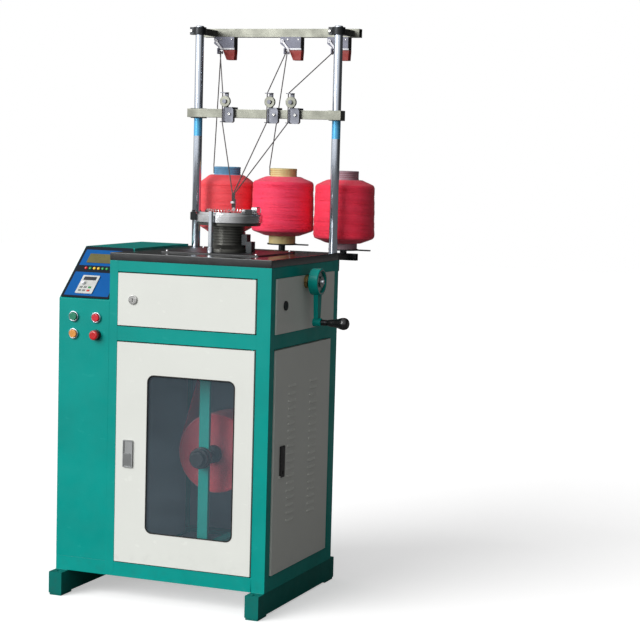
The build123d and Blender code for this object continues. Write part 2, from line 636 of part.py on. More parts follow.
def side_covers():
    """The fixed side cover round the crank shaft with its lock, and the louvred side door."""
    cover = side_pan(SIDE_FRONT, SIDE_REAR, COVER_BOTTOM, COVER_TOP, SEAT_GAP)
    x, y, z = side_lock_at()
    cover -= rod("x", (x - 3, y, z), LOCK_STEM_RADIUS + SEAT_GAP, 4)
    cover -= rod("x", (x - 3, HEAD_Y, SHAFT_Z), SHAFT_RADIUS + 5, 4)
    keep("side_cover", cover)
    keep("side_cover_lock", Pos(x, y, z) * Rot(0, 0, 90) * lock_barrel(PAN_PROUD + STILE_WIDTH + 6))
    door = side_pan(SIDE_FRONT, SIDE_REAR - JAMB_WIDTH, DOOR_BOTTOM, MID_RAIL_Z, DOOR_GAP)
    hx, hy = side_hinge()
    pin_hole = HINGE_PIN_RADIUS + RUNNING_CLEARANCE
    door -= rod("z", (hx, hy, DOOR_BOTTOM), pin_hole, MID_RAIL_Z - DOOR_BOTTOM)
    skin = RIGHT + PAN_PROUD
    for column in LOUVRE_COLUMNS:
        for row in range(LOUVRE_COUNT):
            door = louvre(door, skin, column, LOUVRE_TOP_Z - row * LOUVRE_PITCH)
    px, py, pz = latch_hinge()
    for side in (-1, 1):
        ear_y = py + side * (LATCH_WIDTH / 2 + SEAT_GAP + LATCH_EAR / 2) - LATCH_EAR / 2
        ear = block(skin, skin + LATCH_THICKNESS, ear_y, ear_y + LATCH_EAR, pz - 3, pz + 3)
        door += ear - rod("y", (px, ear_y, pz), TRUNNION_RADIUS + RUNNING_CLEARANCE, LATCH_EAR)
    keep("side_door", door)
    y0 = LATCH_Y - LATCH_WIDTH / 2
    z0 = LATCH_Z - LATCH_HEIGHT / 2
    seat = skin + SEAT_GAP
    latch = block(seat, seat + LATCH_THICKNESS, y0, y0 + LATCH_WIDTH, z0, z0 + LATCH_HEIGHT)
    latch = fillet(latch.edges().filter_by(Axis.Y).group_by(Axis.Z)[0], LATCH_THICKNESS / 2 - 0.05)
    latch = chamfer(latch.edges().filter_by(Axis.Y).group_by(Axis.Z)[-1].sort_by(Axis.X)[-1], 1.5)
    latch -= rod("x", (skin + 3, LATCH_Y, z0 + 14), 5, 3)
    px, py, pz = latch_hinge()
    latch += rod("y", (px, y0 - TRUNNION_REACH, pz), TRUNNION_RADIUS, LATCH_WIDTH + 2 * TRUNNION_REACH)
    keep("side_latch", latch)


def latch_hinge():
    """The line that the side door's latch lifts about, along the row's Y."""
    x = RIGHT + PAN_PROUD + SEAT_GAP + LATCH_THICKNESS / 2
    return x, LATCH_Y, LATCH_Z - (LATCH_HEIGHT - LATCH_THICKNESS) / 2


def louvre(door, skin, y, z):
    """Presses one hooded louvre out of the door's skin, with the slot open below it."""
    half = LOUVRE_LENGTH / 2
    low = z - LOUVRE_HEIGHT
    outline = [(skin - PAN_SHEET, z), (skin, z), (skin + 3.2, low), (skin + 2, low)]
    face = make_face(Polyline(*[(px, y - half, pz) for px, pz in outline], close=True))
    slot = block(skin - 4, skin + 1, y - half, y + half, low, low + LOUVRE_SLOT)
    return door - slot + extrude(face, LOUVRE_LENGTH, dir=(0, 1, 0))


def control_profile(inset):
    """The control box's side outline, shrunk by an inset, as (y, z) points."""
    slope = math.atan2(BOX_TOP - SLOPE_BOTTOM_Z, SLOPE_RUN)
    low = inset * math.tan((math.pi / 2 - slope) / 2)
    high = inset * math.tan(slope / 2)
    return [
        (FRONT + inset, DOOR_BOTTOM),
        (FRONT + inset, SLOPE_BOTTOM_Z - low),
        (FRONT + SLOPE_RUN + high, BOX_TOP - inset),
        (REAR - inset, BOX_TOP - inset),
        (REAR - inset, DOOR_BOTTOM),
    ]


def side_prism(points, x0, x1):
    """A prism along X from (y, z) points."""
    face = make_face(Polyline(*[(x0, y, z) for y, z in points], close=True))
    return extrude(face, x1 - x0, dir=(1, 0, 0))


def slope_plane():
    """The panel's own plane: x along the row's X, y up the slope, z out of the panel."""
    rise = BOX_TOP - SLOPE_BOTTOM_Z
    return Plane(origin=(0, FRONT, SLOPE_BOTTOM_Z), x_dir=(1, 0, 0), z_dir=(0, -rise, SLOPE_RUN))


def on_slope(solid):
    """Places a solid that was made in the panel's own coordinates."""
    return slope_plane().location * solid


def control_box():
    """The sheet box at the left, open below, and all that sits on its panel and front."""
    shell = side_prism(control_profile(0), LEFT, LEFT_STILE_X)
    shell -= side_prism(control_profile(SHEET), LEFT + SHEET, LEFT_STILE_X - SHEET)
    for column in BUTTON_COLUMNS:
        for row in BUTTON_ROWS:
            shell -= rod("y", (column, FRONT - 1, row), BUTTON_RADIUS + SEAT_GAP, SHEET + 2)
    keep("control_box", shell)

    slope_length = math.hypot(SLOPE_RUN, BOX_TOP - SLOPE_BOTTOM_Z)
    x0 = LEFT + FASCIA_MARGIN
    x1 = LEFT_STILE_X - FASCIA_MARGIN
    fascia = block(x0, x1, FASCIA_MARGIN, slope_length - FASCIA_MARGIN, 0, FASCIA_THICKNESS)
    fascia = fillet(fascia.edges().filter_by(Axis.Z), 4)
    keep("control_fascia", on_slope(fascia))
    top = FASCIA_THICKNESS
    screen = block(SCREEN_LEFT, SCREEN_LEFT + SCREEN_WIDTH, SCREEN_LOW, SCREEN_HIGH, top, top + 1.5)
    keep("display_screen", on_slope(fillet(screen.edges().filter_by(Axis.Z), 1.5)))
    lamps = []
    for n in range(LAMP_COUNT):
        lens = rod("z", (LAMP_FIRST_X + n * LAMP_PITCH, LAMP_S, top), LAMP_RADIUS, 4)
        lamps.append(on_slope(fillet(lens.edges().group_by(Axis.Z)[-1], 2)))
    keep("indicator_lamps", *lamps)
    keypad_right = KEYPAD_LEFT + KEYPAD_WIDTH
    keypad = block(KEYPAD_LEFT, keypad_right, KEYPAD_LOW, KEYPAD_HIGH, top, top + KEYPAD_THICKNESS)
    keypad = fillet(keypad.edges().filter_by(Axis.Z), 2.5)
    keep("keypad", on_slope(keypad))
    face = top + KEYPAD_THICKNESS + SEAT_GAP
    knob = rod("z", (KNOB_X, KNOB_S, face), KNOB_RADIUS, KNOB_HEIGHT)
    knob = chamfer(knob.edges().group_by(Axis.Z)[-1], 0.8)
    tip = face + KNOB_HEIGHT
    knob -= block(KNOB_X - 0.6, KNOB_X + 0.6, KNOB_S + 1, KNOB_S + KNOB_RADIUS, tip - 1, tip)
    keep("keypad_knob", on_slope(knob))


def push_buttons():
    """Four bezels on the box's front, three sprung buttons and the mushroom stop button."""
    bezels = []
    for column in BUTTON_COLUMNS:
        for row in BUTTON_ROWS:
            start = (column, FRONT - BEZEL_HEIGHT, row)
            bezel = ring("y", start, BEZEL_RADIUS, BUTTON_RADIUS + SEAT_GAP, BEZEL_HEIGHT)
            bezels.append(chamfer(bezel.edges().group_by(Axis.Y)[0], 1))
    keep("button_bezels", *bezels)
    named = {
        "button_green": (BUTTON_COLUMNS[0], BUTTON_ROWS[0]),
        "button_red": (BUTTON_COLUMNS[1], BUTTON_ROWS[0]),
        "button_orange": (BUTTON_COLUMNS[0], BUTTON_ROWS[1]),
    }
    for name, (x, z) in named.items():
        button = rod("y", (x, FRONT - BUTTON_PROUD, z), BUTTON_RADIUS, BUTTON_PROUD + SHEET + 14)
        keep(name, fillet(button.edges().group_by(Axis.Y)[0], 1.5))
    x, z = BUTTON_COLUMNS[1], BUTTON_ROWS[1]
    start = FRONT - BEZEL_HEIGHT - ESTOP_TRAVEL - 1
    head = rod("y", (x, start - ESTOP_HEAD_HEIGHT, z), ESTOP_HEAD_RADIUS, ESTOP_HEAD_HEIGHT)
    head = fillet(head.edges().group_by(Axis.Y)[0], 5)
    head += rod("y", (x, start, z), BUTTON_RADIUS, ESTOP_TRAVEL + 1 + BEZEL_HEIGHT + SHEET + 14)
    keep("stop_button", head)


def knitting_head():
    """Base plate, ridged column, cam ring with its blocks, bushes, and the yarn feeder."""
    x0, x1 = HEAD_X - BASE_PLATE_TO_LEFT, HEAD_X + BASE_PLATE_TO_RIGHT
    y0, y1 = HEAD_Y - BASE_PLATE_TO_FRONT, HEAD_Y + BASE_PLATE_TO_REAR
    plate = block(x0, x1, y0, y1, TABLE_Z, BASE_PLATE_TOP)
    plate -= rod("z", (HEAD_X, HEAD_Y, TABLE_Z), COLUMN_BORE + 3, BASE_PLATE_THICKNESS)
    plate = chamfer(plate.faces().sort_by(Axis.Z)[-1].edges().filter_by(GeomType.LINE), 1.5)
    keep("head_base", plate)

    z0 = BASE_PLATE_TOP
    neck = z0 + COLUMN_FOOT_HEIGHT + 12
    under = COLUMN_TOP_Z - COLUMN_TOP_THICKNESS
    outline = [(COLUMN_BORE, z0), (COLUMN_FOOT_RADIUS, z0), (COLUMN_FOOT_RADIUS, z0 + COLUMN_FOOT_HEIGHT)]
    outline.append((COLUMN_RADIUS, neck))
    step = (under - neck) / RIDGE_COUNT
    for n in range(RIDGE_COUNT):
        base = neck + n * step
        outline += [
            (COLUMN_RADIUS, base + step * 0.55),
            (COLUMN_RADIUS - RIDGE_DEPTH, base + step * 0.65),
            (COLUMN_RADIUS - RIDGE_DEPTH, base + step * 0.9),
            (COLUMN_RADIUS, base + step),
        ]
    outline += [
        (COLUMN_TOP_RADIUS, under + 1), (COLUMN_TOP_RADIUS, COLUMN_TOP_Z), (COLUMN_BORE, COLUMN_TOP_Z)
    ]
    keep("head_column", turned(outline, HEAD_X, HEAD_Y))

    profile = [
        (RING_INNER, COLUMN_TOP_Z), (RING_OUTER - 2, COLUMN_TOP_Z), (RING_OUTER, COLUMN_TOP_Z + 2),
        (RING_OUTER, RING_TOP - 9), (RING_OUTER - 4, RING_TOP - 5), (RING_OUTER - 4, RING_TOP - 1),
        (RING_OUTER - 5, RING_TOP), (RING_INNER, RING_TOP),
    ]
    keep("cam_ring", turned(profile, HEAD_X, HEAD_Y))

    blocks = []
    mid = (RING_OUTER - 5 + RING_INNER) / 2
    for angle, height in ((-28, 10), (2, 16), (34, 12)):
        shape = block(mid - 8, mid + 8, -13, 13, RING_TOP, RING_TOP + height)
        shape = chamfer(shape.faces().sort_by(Axis.Z)[-1].edges(), 2)
        blocks.append(Pos(HEAD_X, HEAD_Y, 0) * Rot(0, 0, angle) * shape)
    stand = rod("z", (mid, 0, RING_TOP), 5, 34)
    arm = block(BED_RADIUS - 4, mid + 6, -6, 6, RING_TOP + 22, RING_TOP + 28)
    eye_at = (BED_RADIUS - 4, 0, RING_TOP + 22)
    arm = arm - rod("z", eye_at, FEED_EYE + 2, 6) + ring("z", eye_at, FEED_EYE + 2.5, FEED_EYE, 6)
    feeder = stand + arm
    blocks.append(Pos(HEAD_X, HEAD_Y, 0) * Rot(0, 0, feeder_angle()) * feeder)
    clamp = block(RING_OUTER, RING_OUTER + 16, -14, 14, COLUMN_TOP_Z + 5, RING_TOP - 2)
    clamp = chamfer(clamp.faces().sort_by(Axis.X)[-1].edges(), 2)
    clamp += rod("z", (RING_OUTER + 8, 0, RING_TOP - 2), 5, 5)
    blocks.append(Pos(HEAD_X, HEAD_Y, 0) * Rot(0, 0, RING_CLAMP_ANGLE) * clamp)

    reach = RING_OUTER + ROD_GAP + ROD_RADIUS
    stem = rod("z", (reach, 0, BASE_PLATE_TOP), ROD_RADIUS, RING_TOP - BASE_PLATE_TOP + 3)
    stem += rod("z", (reach, 0, BASE_PLATE_TOP), ROD_RADIUS + 2.5, 14)
    stem += block(RING_OUTER, reach, -4, 4, COLUMN_TOP_Z + 4, COLUMN_TOP_Z + 14)
    blocks.append(Pos(HEAD_X, HEAD_Y, 0) * Rot(0, 0, ROD_ANGLE) * stem)

    low = BRACKET_HEIGHT * 0.6
    bracket = block(0, BRACKET_REACH, -13, 13, z0, z0 + low)
    bracket += block(0, BRACKET_REACH - 14, -13, 13, z0 + low, z0 + BRACKET_HEIGHT)
    bracket -= rod("z", (0, 0, z0), COLUMN_FOOT_RADIUS, COLUMN_FOOT_HEIGHT + 12)
    bracket -= rod("z", (0, 0, z0), COLUMN_RADIUS, BRACKET_HEIGHT)
    blocks.append(Pos(HEAD_X, HEAD_Y, 0) * bracket)
    keep("head_fittings", *blocks)


def feeder_angle():
    """The feeder's angle about the cylinder, at the rear and a little to the left."""
    return 105.0


def feed_point():
    """The middle of the feeder's eye, just above it."""
    turn = math.radians(feeder_angle())
    radius = BED_RADIUS - 4
    return HEAD_X + radius * math.cos(turn), HEAD_Y + radius * math.sin(turn), RING_TOP + 25


def bearings():
    """Bushes for the cylinder, the shaft's hanger and flange bearing, and the take-down pivot."""
    bore = CYLINDER_RADIUS + RUNNING_CLEARANCE
    low = ring("z", (HEAD_X, HEAD_Y, BASE_PLATE_TOP), COLUMN_BORE, bore, BUSH_HEIGHT)
    high = ring("z", (HEAD_X, HEAD_Y, COLUMN_TOP_Z - BUSH_HEIGHT), COLUMN_BORE, bore, BUSH_HEIGHT)
    shaft_bore = SHAFT_RADIUS + RUNNING_CLEARANCE
    half = HANGER_DEPTH / 2
    hanger_end = HANGER_X + HANGER_WIDTH
    hanger = block(HANGER_X, hanger_end, HEAD_Y - half, HEAD_Y + half, SHAFT_Z - HANGER_DROP, FRAME_TOP)
    hanger = fillet(hanger.edges().filter_by(Axis.X).group_by(Axis.Z)[0], HANGER_DROP - 4)
    hanger -= rod("x", (HANGER_X, HEAD_Y, SHAFT_Z), shaft_bore, HANGER_WIDTH)
    flange = ring("x", (RIGHT + PAN_PROUD, HEAD_Y, SHAFT_Z), FLANGE_RADIUS, shaft_bore, FLANGE_THICKNESS)
    flange = chamfer(flange.edges().group_by(Axis.X)[-1], 1)
    pivot = rod("z", (HEAD_X, HEAD_Y, DOOR_BOTTOM), PIVOT_BLOCK_RADIUS, PIVOT_BLOCK_HEIGHT)
    well = PIVOT_BLOCK_HEIGHT - PIVOT_SEAT
    pivot -= rod("z", (HEAD_X, HEAD_Y, DOOR_BOTTOM + PIVOT_SEAT), PIVOT_RADIUS + RUNNING_CLEARANCE, well)
    keep("bearings", low, high, hanger, flange, pivot)


def needle_cylinder():
    """The grooved needle bed on its long tube, and its needles."""
    profile = [
        (CYLINDER_BORE, CYLINDER_BOTTOM_Z), (CYLINDER_FLANGE_RADIUS, CYLINDER_BOTTOM_Z),
        (CYLINDER_FLANGE_RADIUS, CYLINDER_BOTTOM_Z + CYLINDER_FLANGE_THICKNESS),
        (CYLINDER_RADIUS, CYLINDER_BOTTOM_Z + CYLINDER_FLANGE_THICKNESS),
        (CYLINDER_RADIUS, BED_Z), (BED_RADIUS, BED_Z), (BED_RADIUS, BED_Z + BED_HEIGHT),
        (BED_RADIUS - 8, BED_Z + BED_HEIGHT), (CYLINDER_BORE + 4, BED_Z + 6), (CYLINDER_BORE, BED_Z + 6),
    ]
    body = turned(profile)
    root = BED_RADIUS - NEEDLE_DEPTH
    half = NEEDLE_GROOVE / 2
    groove = block(root, BED_RADIUS + 1, -half, half, BED_Z - 1, BED_Z + BED_HEIGHT + 1)
    side = NEEDLE_WIDTH / 2
    foot = BED_Z + 1
    grooves = []
    needles = []
    for n in range(NEEDLE_COUNT):
        turn = Rot(0, 0, (n + 0.5) * 360 / NEEDLE_COUNT)
        grooves.append(turn * groove)
        needle = block(root + 0.2, root + 2.6, -side, side, foot, foot + NEEDLE_HEIGHT)
        needles.append(Pos(HEAD_X, HEAD_Y, 0) * turn * needle)
    body -= grooves
    keep("needle_cylinder", Pos(HEAD_X, HEAD_Y, 0) * body)
    keep("needles", *needles)


def bevel_gear(teeth, far, tip_angle, root_angle, tip_share, root_share, phase):
    """A bevel gear about +Z with its cone's apex at the origin, large end at height far."""
    tip = far * math.tan(tip_angle)
    root = far * math.tan(root_angle)
    points = []
    for n in range(teeth):
        centre = (n + phase) * 2 * math.pi / teeth
        half_tip = tip_share * math.pi / teeth
        half_root = root_share * math.pi / teeth
        for radius, turn in ((root, -half_root), (tip, -half_tip), (tip, half_tip), (root, half_root)):
            points.append((radius * math.cos(centre + turn), radius * math.sin(centre + turn), far))
    large = make_face(Polyline(*points, close=True))
    small = make_face(Polyline(*[tuple(v * GEAR_FACE_SHARE for v in p) for p in points], close=True))
    return loft([small, large], ruled=True)


def drive():
    """Shaft with its pulley, bevel pinion and ring gear, crank, grip, motor, belt and motor pulley."""
    pitch = math.atan2(PITCH_PINION, PITCH_RING)
    addendum = math.radians(1.3)
    dedendum = math.radians(1.9)
    apex = Pos(HEAD_X, HEAD_Y, SHAFT_Z)
    shares = (TIP_SHARE, ROOT_SHARE)
    pinion = bevel_gear(PINION_TEETH, PITCH_RING, pitch + addendum, pitch - dedendum, *shares, 0.5)
    pinion += rod("z", (0, 0, PITCH_RING), PITCH_PINION - 6, PINION_BACK)
    pinion -= rod("z", (0, 0, 0), SHAFT_RADIUS, PITCH_RING + 20)
    keep("bevel_pinion", apex * Rot(0, 90, 0) * pinion)
    side = math.pi / 2 - pitch
    gear = bevel_gear(RING_TEETH, PITCH_PINION, side + addendum, side - dedendum, *shares, 0.0)
    gear += rod("z", (0, 0, PITCH_PINION), PITCH_RING - 6, GEAR_BACK)
    gear -= rod("z", (0, 0, 0), CYLINDER_RADIUS, PITCH_PINION + GEAR_BACK + 1)
    keep("ring_gear", apex * gear)

    shaft_start = HEAD_X + PITCH_RING * GEAR_FACE_SHARE
    shaft = rod("x", (shaft_start, HEAD_Y, SHAFT_Z), SHAFT_RADIUS, HUB_X + 18 - shaft_start)
    pulley = v_pulley(PULLEY_RADIUS, SHAFT_RADIUS, PULLEY_X)
    keep("drive_shaft", shaft, Pos(0, HEAD_Y, SHAFT_Z) * pulley)

    hub = rod("x", (HUB_X, HEAD_Y, SHAFT_Z), HUB_RADIUS, HUB_THICKNESS)
    hub = fillet(hub.edges().group_by(Axis.X)[-1], 3)
    front = HUB_X + HUB_THICKNESS
    hub -= ring("x", (front - 6, HEAD_Y, SHAFT_Z), HUB_RADIUS - 6, 15, 6)
    arm = [(-16, SHAFT_Z - 20), (16, SHAFT_Z - 20), (9, CRANK_Z), (-9, CRANK_Z)]
    web = make_face(Polyline(*[(HUB_X + 8, HEAD_Y + y, z) for y, z in arm], close=True))
    web = extrude(web, 13, dir=(1, 0, 0))
    web -= rod("x", (HUB_X, HEAD_Y, SHAFT_Z), HUB_RADIUS - 1, HUB_THICKNESS)
    boss_start = HUB_X + CRANK_BOSS_START
    boss_end = boss_start + CRANK_BOSS_LENGTH
    boss = rod("x", (boss_start, HEAD_Y, CRANK_Z), CRANK_BOSS_RADIUS, CRANK_BOSS_LENGTH)
    boss = fillet(boss.edges(), 2)
    crank = hub + web + boss
    crank -= rod("x", (HUB_X - 1, HEAD_Y, SHAFT_Z), SHAFT_RADIUS, 19)
    pin = rod("x", (boss_end, HEAD_Y, CRANK_Z), 8, GRIP_START - boss_end - SEAT_GAP)
    pin += rod("x", (GRIP_START - SEAT_GAP, HEAD_Y, CRANK_Z), CRANK_PIN_RADIUS, GRIP_LENGTH - 8)
    keep("crank_arm", crank, pin)
    profile = [(0, 7.5), (6, 9.5), (20, 11), (34, 14), (46, GRIP_RADIUS), (55, 15.5), (GRIP_LENGTH, 8)]
    curve = Spline(*[(GRIP_START + x, 0, r) for x, r in profile])
    edge = [(GRIP_START + GRIP_LENGTH, 0, 0), (GRIP_START, 0, 0)]
    close = Polyline((GRIP_START + GRIP_LENGTH, 0, 8), *edge, (GRIP_START, 0, 7.5))
    grip = revolve(make_face([curve, close]), Axis.X)
    grip -= rod("x", (GRIP_START - 1, 0, 0), CRANK_PIN_RADIUS + RUNNING_CLEARANCE, GRIP_LENGTH - 6)
    keep("crank_grip", Pos(0, HEAD_Y, CRANK_Z) * grip)

    motor_z = motor_height()
    body = rod("x", (MOTOR_X, MOTOR_Y, motor_z), MOTOR_RADIUS, MOTOR_LENGTH)
    end = MOTOR_X + MOTOR_LENGTH
    for n in range(12):
        groove = block(MOTOR_X + 26, end - 14, MOTOR_RADIUS - 3, MOTOR_RADIUS + 2, -2, 2)
        body -= Pos(0, MOTOR_Y, motor_z) * Rot(15 + n * 30, 0, 0) * groove
    foot_z = DOOR_BOTTOM + SHEET
    x0, x1 = MOTOR_X + MOTOR_FOOT_INSET, end - MOTOR_FOOT_INSET
    body += block(x0, x1, MOTOR_Y - MOTOR_FOOT_REACH, SIDE_REAR, foot_z, foot_z + MOTOR_FOOT)
    x0, x1 = MOTOR_X + MOTOR_WEB_INSET, end - MOTOR_WEB_INSET
    y0, y1 = MOTOR_Y - MOTOR_WEB_REACH, MOTOR_Y + MOTOR_WEB_REACH
    body += block(x0, x1, y0, y1, foot_z + 4, motor_z)
    keep("motor", body)
    rotor = v_pulley(MOTOR_PULLEY_RADIUS, 0, PULLEY_X)
    rotor += rod("x", (end + SEAT_GAP, 0, 0), MOTOR_SHAFT_RADIUS, PULLEY_X - end - SEAT_GAP)
    keep("motor_pulley", Pos(0, MOTOR_Y, motor_z) * rotor)
    keep("drive_belt", belt(motor_z))


def motor_height():
    """The motor's axis above the floor, so that it stands on the floor sheet."""
    return DOOR_BOTTOM + SHEET + MOTOR_FOOT + MOTOR_RADIUS - 2


def v_pulley(radius, bore, x0):
    """A flanged pulley on the X axis."""
    body = rod("x", (x0, 0, 0), radius + PULLEY_RIM, PULLEY_WIDTH)
    side = (PULLEY_WIDTH - BELT_WIDTH) / 2 - SEAT_GAP
    body -= ring("x", (x0 + side, 0, 0), radius + PULLEY_RIM, radius, PULLEY_WIDTH - 2 * side)
    if bore:
        body -= rod("x", (x0, 0, 0), bore, PULLEY_WIDTH)
    return body


def belt(motor_z):
    """The belt round both pulleys, just clear of their grooves."""
    low = (MOTOR_Y, motor_z, MOTOR_PULLEY_RADIUS + SEAT_GAP)
    high = (HEAD_Y, SHAFT_Z, PULLEY_RADIUS + SEAT_GAP)
    x0 = PULLEY_X + (PULLEY_WIDTH - BELT_WIDTH) / 2
    return belt_loop(low, high, BELT_THICKNESS, x0) - belt_loop(low, high, 0, x0)


def belt_loop(low, high, grow, x0):
    """The filled outline of a loop round two circles given as (y, z, radius), as a prism along X."""
    (y1, z1, r1), (y2, z2, r2) = low, high
    r1 += grow
    r2 += grow
    length = math.hypot(y2 - y1, z2 - z1)
    heading = math.atan2(z2 - z1, y2 - y1)
    spread = math.acos((r1 - r2) / length)

    def at(y, z, r, angle):
        return (x0, y + r * math.cos(angle), z + r * math.sin(angle))

    left = heading + spread
    right = heading - spread
    edges = [
        Line(at(y1, z1, r1, left), at(y2, z2, r2, left)),
        ThreePointArc(at(y2, z2, r2, left), at(y2, z2, r2, heading), at(y2, z2, r2, right)),
        Line(at(y2, z2, r2, right), at(y1, z1, r1, right)),
        ThreePointArc(at(y1, z1, r1, right), at(y1, z1, r1, heading + math.pi), at(y1, z1, r1, left)),
    ]
    return extrude(make_face(edges), BELT_WIDTH, dir=(1, 0, 0))


def take_down():
    """The rotating frame under the cylinder, the reel in it and the knitted tube on its way."""
    x0 = HEAD_X - YOKE_BAR_WIDTH / 2
    x1 = HEAD_X + YOKE_BAR_WIDTH / 2
    t = YOKE_BAR_THICKNESS
    top = block(x0, x1, YOKE_FRONT, YOKE_REAR, CYLINDER_BOTTOM_Z - t, CYLINDER_BOTTOM_Z)
    top += rod("z", (HEAD_X, HEAD_Y, CYLINDER_BOTTOM_Z - t), CYLINDER_FLANGE_RADIUS, t)
    top -= rod("z", (HEAD_X, HEAD_Y, CYLINDER_BOTTOM_Z - t), CYLINDER_BORE, t)
    bottom = block(x0, x1, YOKE_FRONT, YOKE_REAR, YOKE_BOTTOM_Z, YOKE_BOTTOM_Z + t)
    pivot_z = DOOR_BOTTOM + PIVOT_SEAT + 1
    bottom += rod("z", (HEAD_X, HEAD_Y, pivot_z), PIVOT_RADIUS, YOKE_BOTTOM_Z - pivot_z)
    bars = []
    for y in (YOKE_FRONT, YOKE_REAR - t):
        bar = block(x0, x1, y, y + t, YOKE_BOTTOM_Z + t, CYLINDER_BOTTOM_Z - t)
        bars.append(bar - rod("y", (HEAD_X, y, REEL_Z), REEL_SHAFT_RADIUS + RUNNING_CLEARANCE, t))
    keep("take_down_frame", top, bottom, *bars)

    nose = YOKE_FRONT - REEL_NOSE
    shaft = rod("y", (HEAD_X, nose, REEL_Z), REEL_SHAFT_RADIUS, YOKE_REAR + REEL_TAIL - nose)
    for start, radius, length in (
        (nose, REEL_CAP_RADIUS, REEL_CAP_LENGTH),
        (nose + REEL_COLLAR_START, REEL_COLLAR_RADIUS, REEL_COLLAR_LENGTH),
        (nose + REEL_HUB_START, REEL_COLLAR_RADIUS + 2, REEL_HUB_LENGTH),
        (REEL_FRONT - SEAT_GAP - REEL_SPACER_LENGTH, REEL_SPACER_RADIUS, REEL_SPACER_LENGTH),
    ):
        collar = rod("y", (HEAD_X, start, REEL_Z), radius, length)
        shaft += chamfer(collar.edges(), 1.5)
    keep("reel_shaft", shaft)
    roll = rod("y", (HEAD_X, REEL_FRONT, REEL_Z), REEL_RADIUS, REEL_LENGTH)
    roll = fillet(roll.edges(), 8) - rod("y", (HEAD_X, REEL_FRONT, REEL_Z), REEL_SHAFT_RADIUS, REEL_LENGTH)
    keep("fabric_roll", roll)

    mouth_z = CYLINDER_BOTTOM_Z
    reach = REEL_RADIUS + SEAT_GAP + WEB_THICKNESS / 2
    turn = math.acos(reach / (mouth_z - REEL_Z))
    end_x = HEAD_X - reach * math.sin(turn)
    end_z = REEL_Z + reach * math.cos(turn)
    sections = [
        (HEAD_X, BED_Z + BED_HEIGHT + SEAT_GAP, BED_RADIUS - 8.5, BED_RADIUS - 8.5),
        (HEAD_X, BED_Z + 6, CYLINDER_BORE - SEAT_GAP, CYLINDER_BORE - SEAT_GAP),
        (HEAD_X, mouth_z - t - 2, CYLINDER_BORE * 0.6, CYLINDER_BORE - SEAT_GAP),
        (HEAD_X + (end_x - HEAD_X) * 0.5, (mouth_z + end_z) / 2, 5, WEB_WIDTH / 2 - 6),
        (end_x, end_z, WEB_THICKNESS / 2, WEB_WIDTH / 2),
    ]
    faces = [Plane(origin=(x, HEAD_Y, z)) * Ellipse(rx, ry) for x, z, rx, ry in sections]
    keep("fabric_web", loft(faces, ruled=True))


def rack():
    """Two posts, the clamps on them, and the upper and lower bars."""
    posts = []
    for x in POST_X:
        post = rod("z", (x, POST_Y, TABLE_Z), POST_RADIUS, POST_TOP_Z - TABLE_Z)
        posts.append(chamfer(post.edges().group_by(Axis.Z)[-1], 2))
    keep("rack_posts", *posts)
    bars = []
    upper = (UPPER_BAR_ENDS, UPPER_BAR_Y, UPPER_BAR_Z)
    lower = (LOWER_BAR_ENDS, LOWER_BAR_Y, LOWER_BAR_Z)
    for ends, y, z in (upper, lower):
        bars.append(tube("x", *ends, y, y + BAR_SIZE, z, z + BAR_SIZE))
    keep("rack_bars", *bars)
    clamps = []
    outer = POST_RADIUS + CLAMP_WALL
    half = ARM_WIDTH / 2
    top = UPPER_BAR_Z + CLAMP_HEIGHT
    for x in POST_X:
        collar = rod("z", (x, POST_Y, UPPER_BAR_Z), outer, CLAMP_HEIGHT)
        arm_start = POST_Y + POST_RADIUS + 2
        collar += block(x - half, x + half, arm_start, UPPER_BAR_Y, UPPER_BAR_Z + 2, top - 2)
        collar += block(x - outer - CLAMP_LUG, x, POST_Y - 8, POST_Y + 8, UPPER_BAR_Z, top)
        clamps.append(collar - rod("z", (x, POST_Y, UPPER_BAR_Z), POST_RADIUS, CLAMP_HEIGHT))
        low, high = LOWER_BAR_Z - 2, LOWER_BAR_Z + BAR_SIZE + 2
        saddle = block(x - outer, x + outer, LOWER_BAR_Y + BAR_SIZE, POST_Y + outer, low, high)
        clamps.append(saddle - rod("z", (x, POST_Y, low), POST_RADIUS, high - low))
    x1 = LOWER_BAR_ENDS[1]
    x2 = x1 + CAP_WALL
    front = LOWER_BAR_Y - CAP_WALL
    low, high = LOWER_BAR_Z - 1, LOWER_BAR_Z + BAR_SIZE + 1
    cap = block(x1 - CAP_LENGTH, x2, front, LOWER_BAR_Y, low, high)
    clamps.append(cap + block(x1, x2, front, LOWER_BAR_Y + BAR_SIZE, low, high))
    keep("rack_clamps", *clamps)


def lever_pivot(n):
    """The line that a detector's lever turns about, along the row's Y."""
    y = UPPER_BAR_Y + 8 - DETECTOR_DEPTH - 3
    return DETECTOR_X[n] + 8, y, UPPER_BAR_Z - 12


def yarn_pin(n):
    """The middle of the round pin under a detector that its yarn turns over."""
    x, y, z = lever_pivot(n)
    return x + 18, y - 7, UPPER_BAR_Z - DETECTOR_HEIGHT - 9


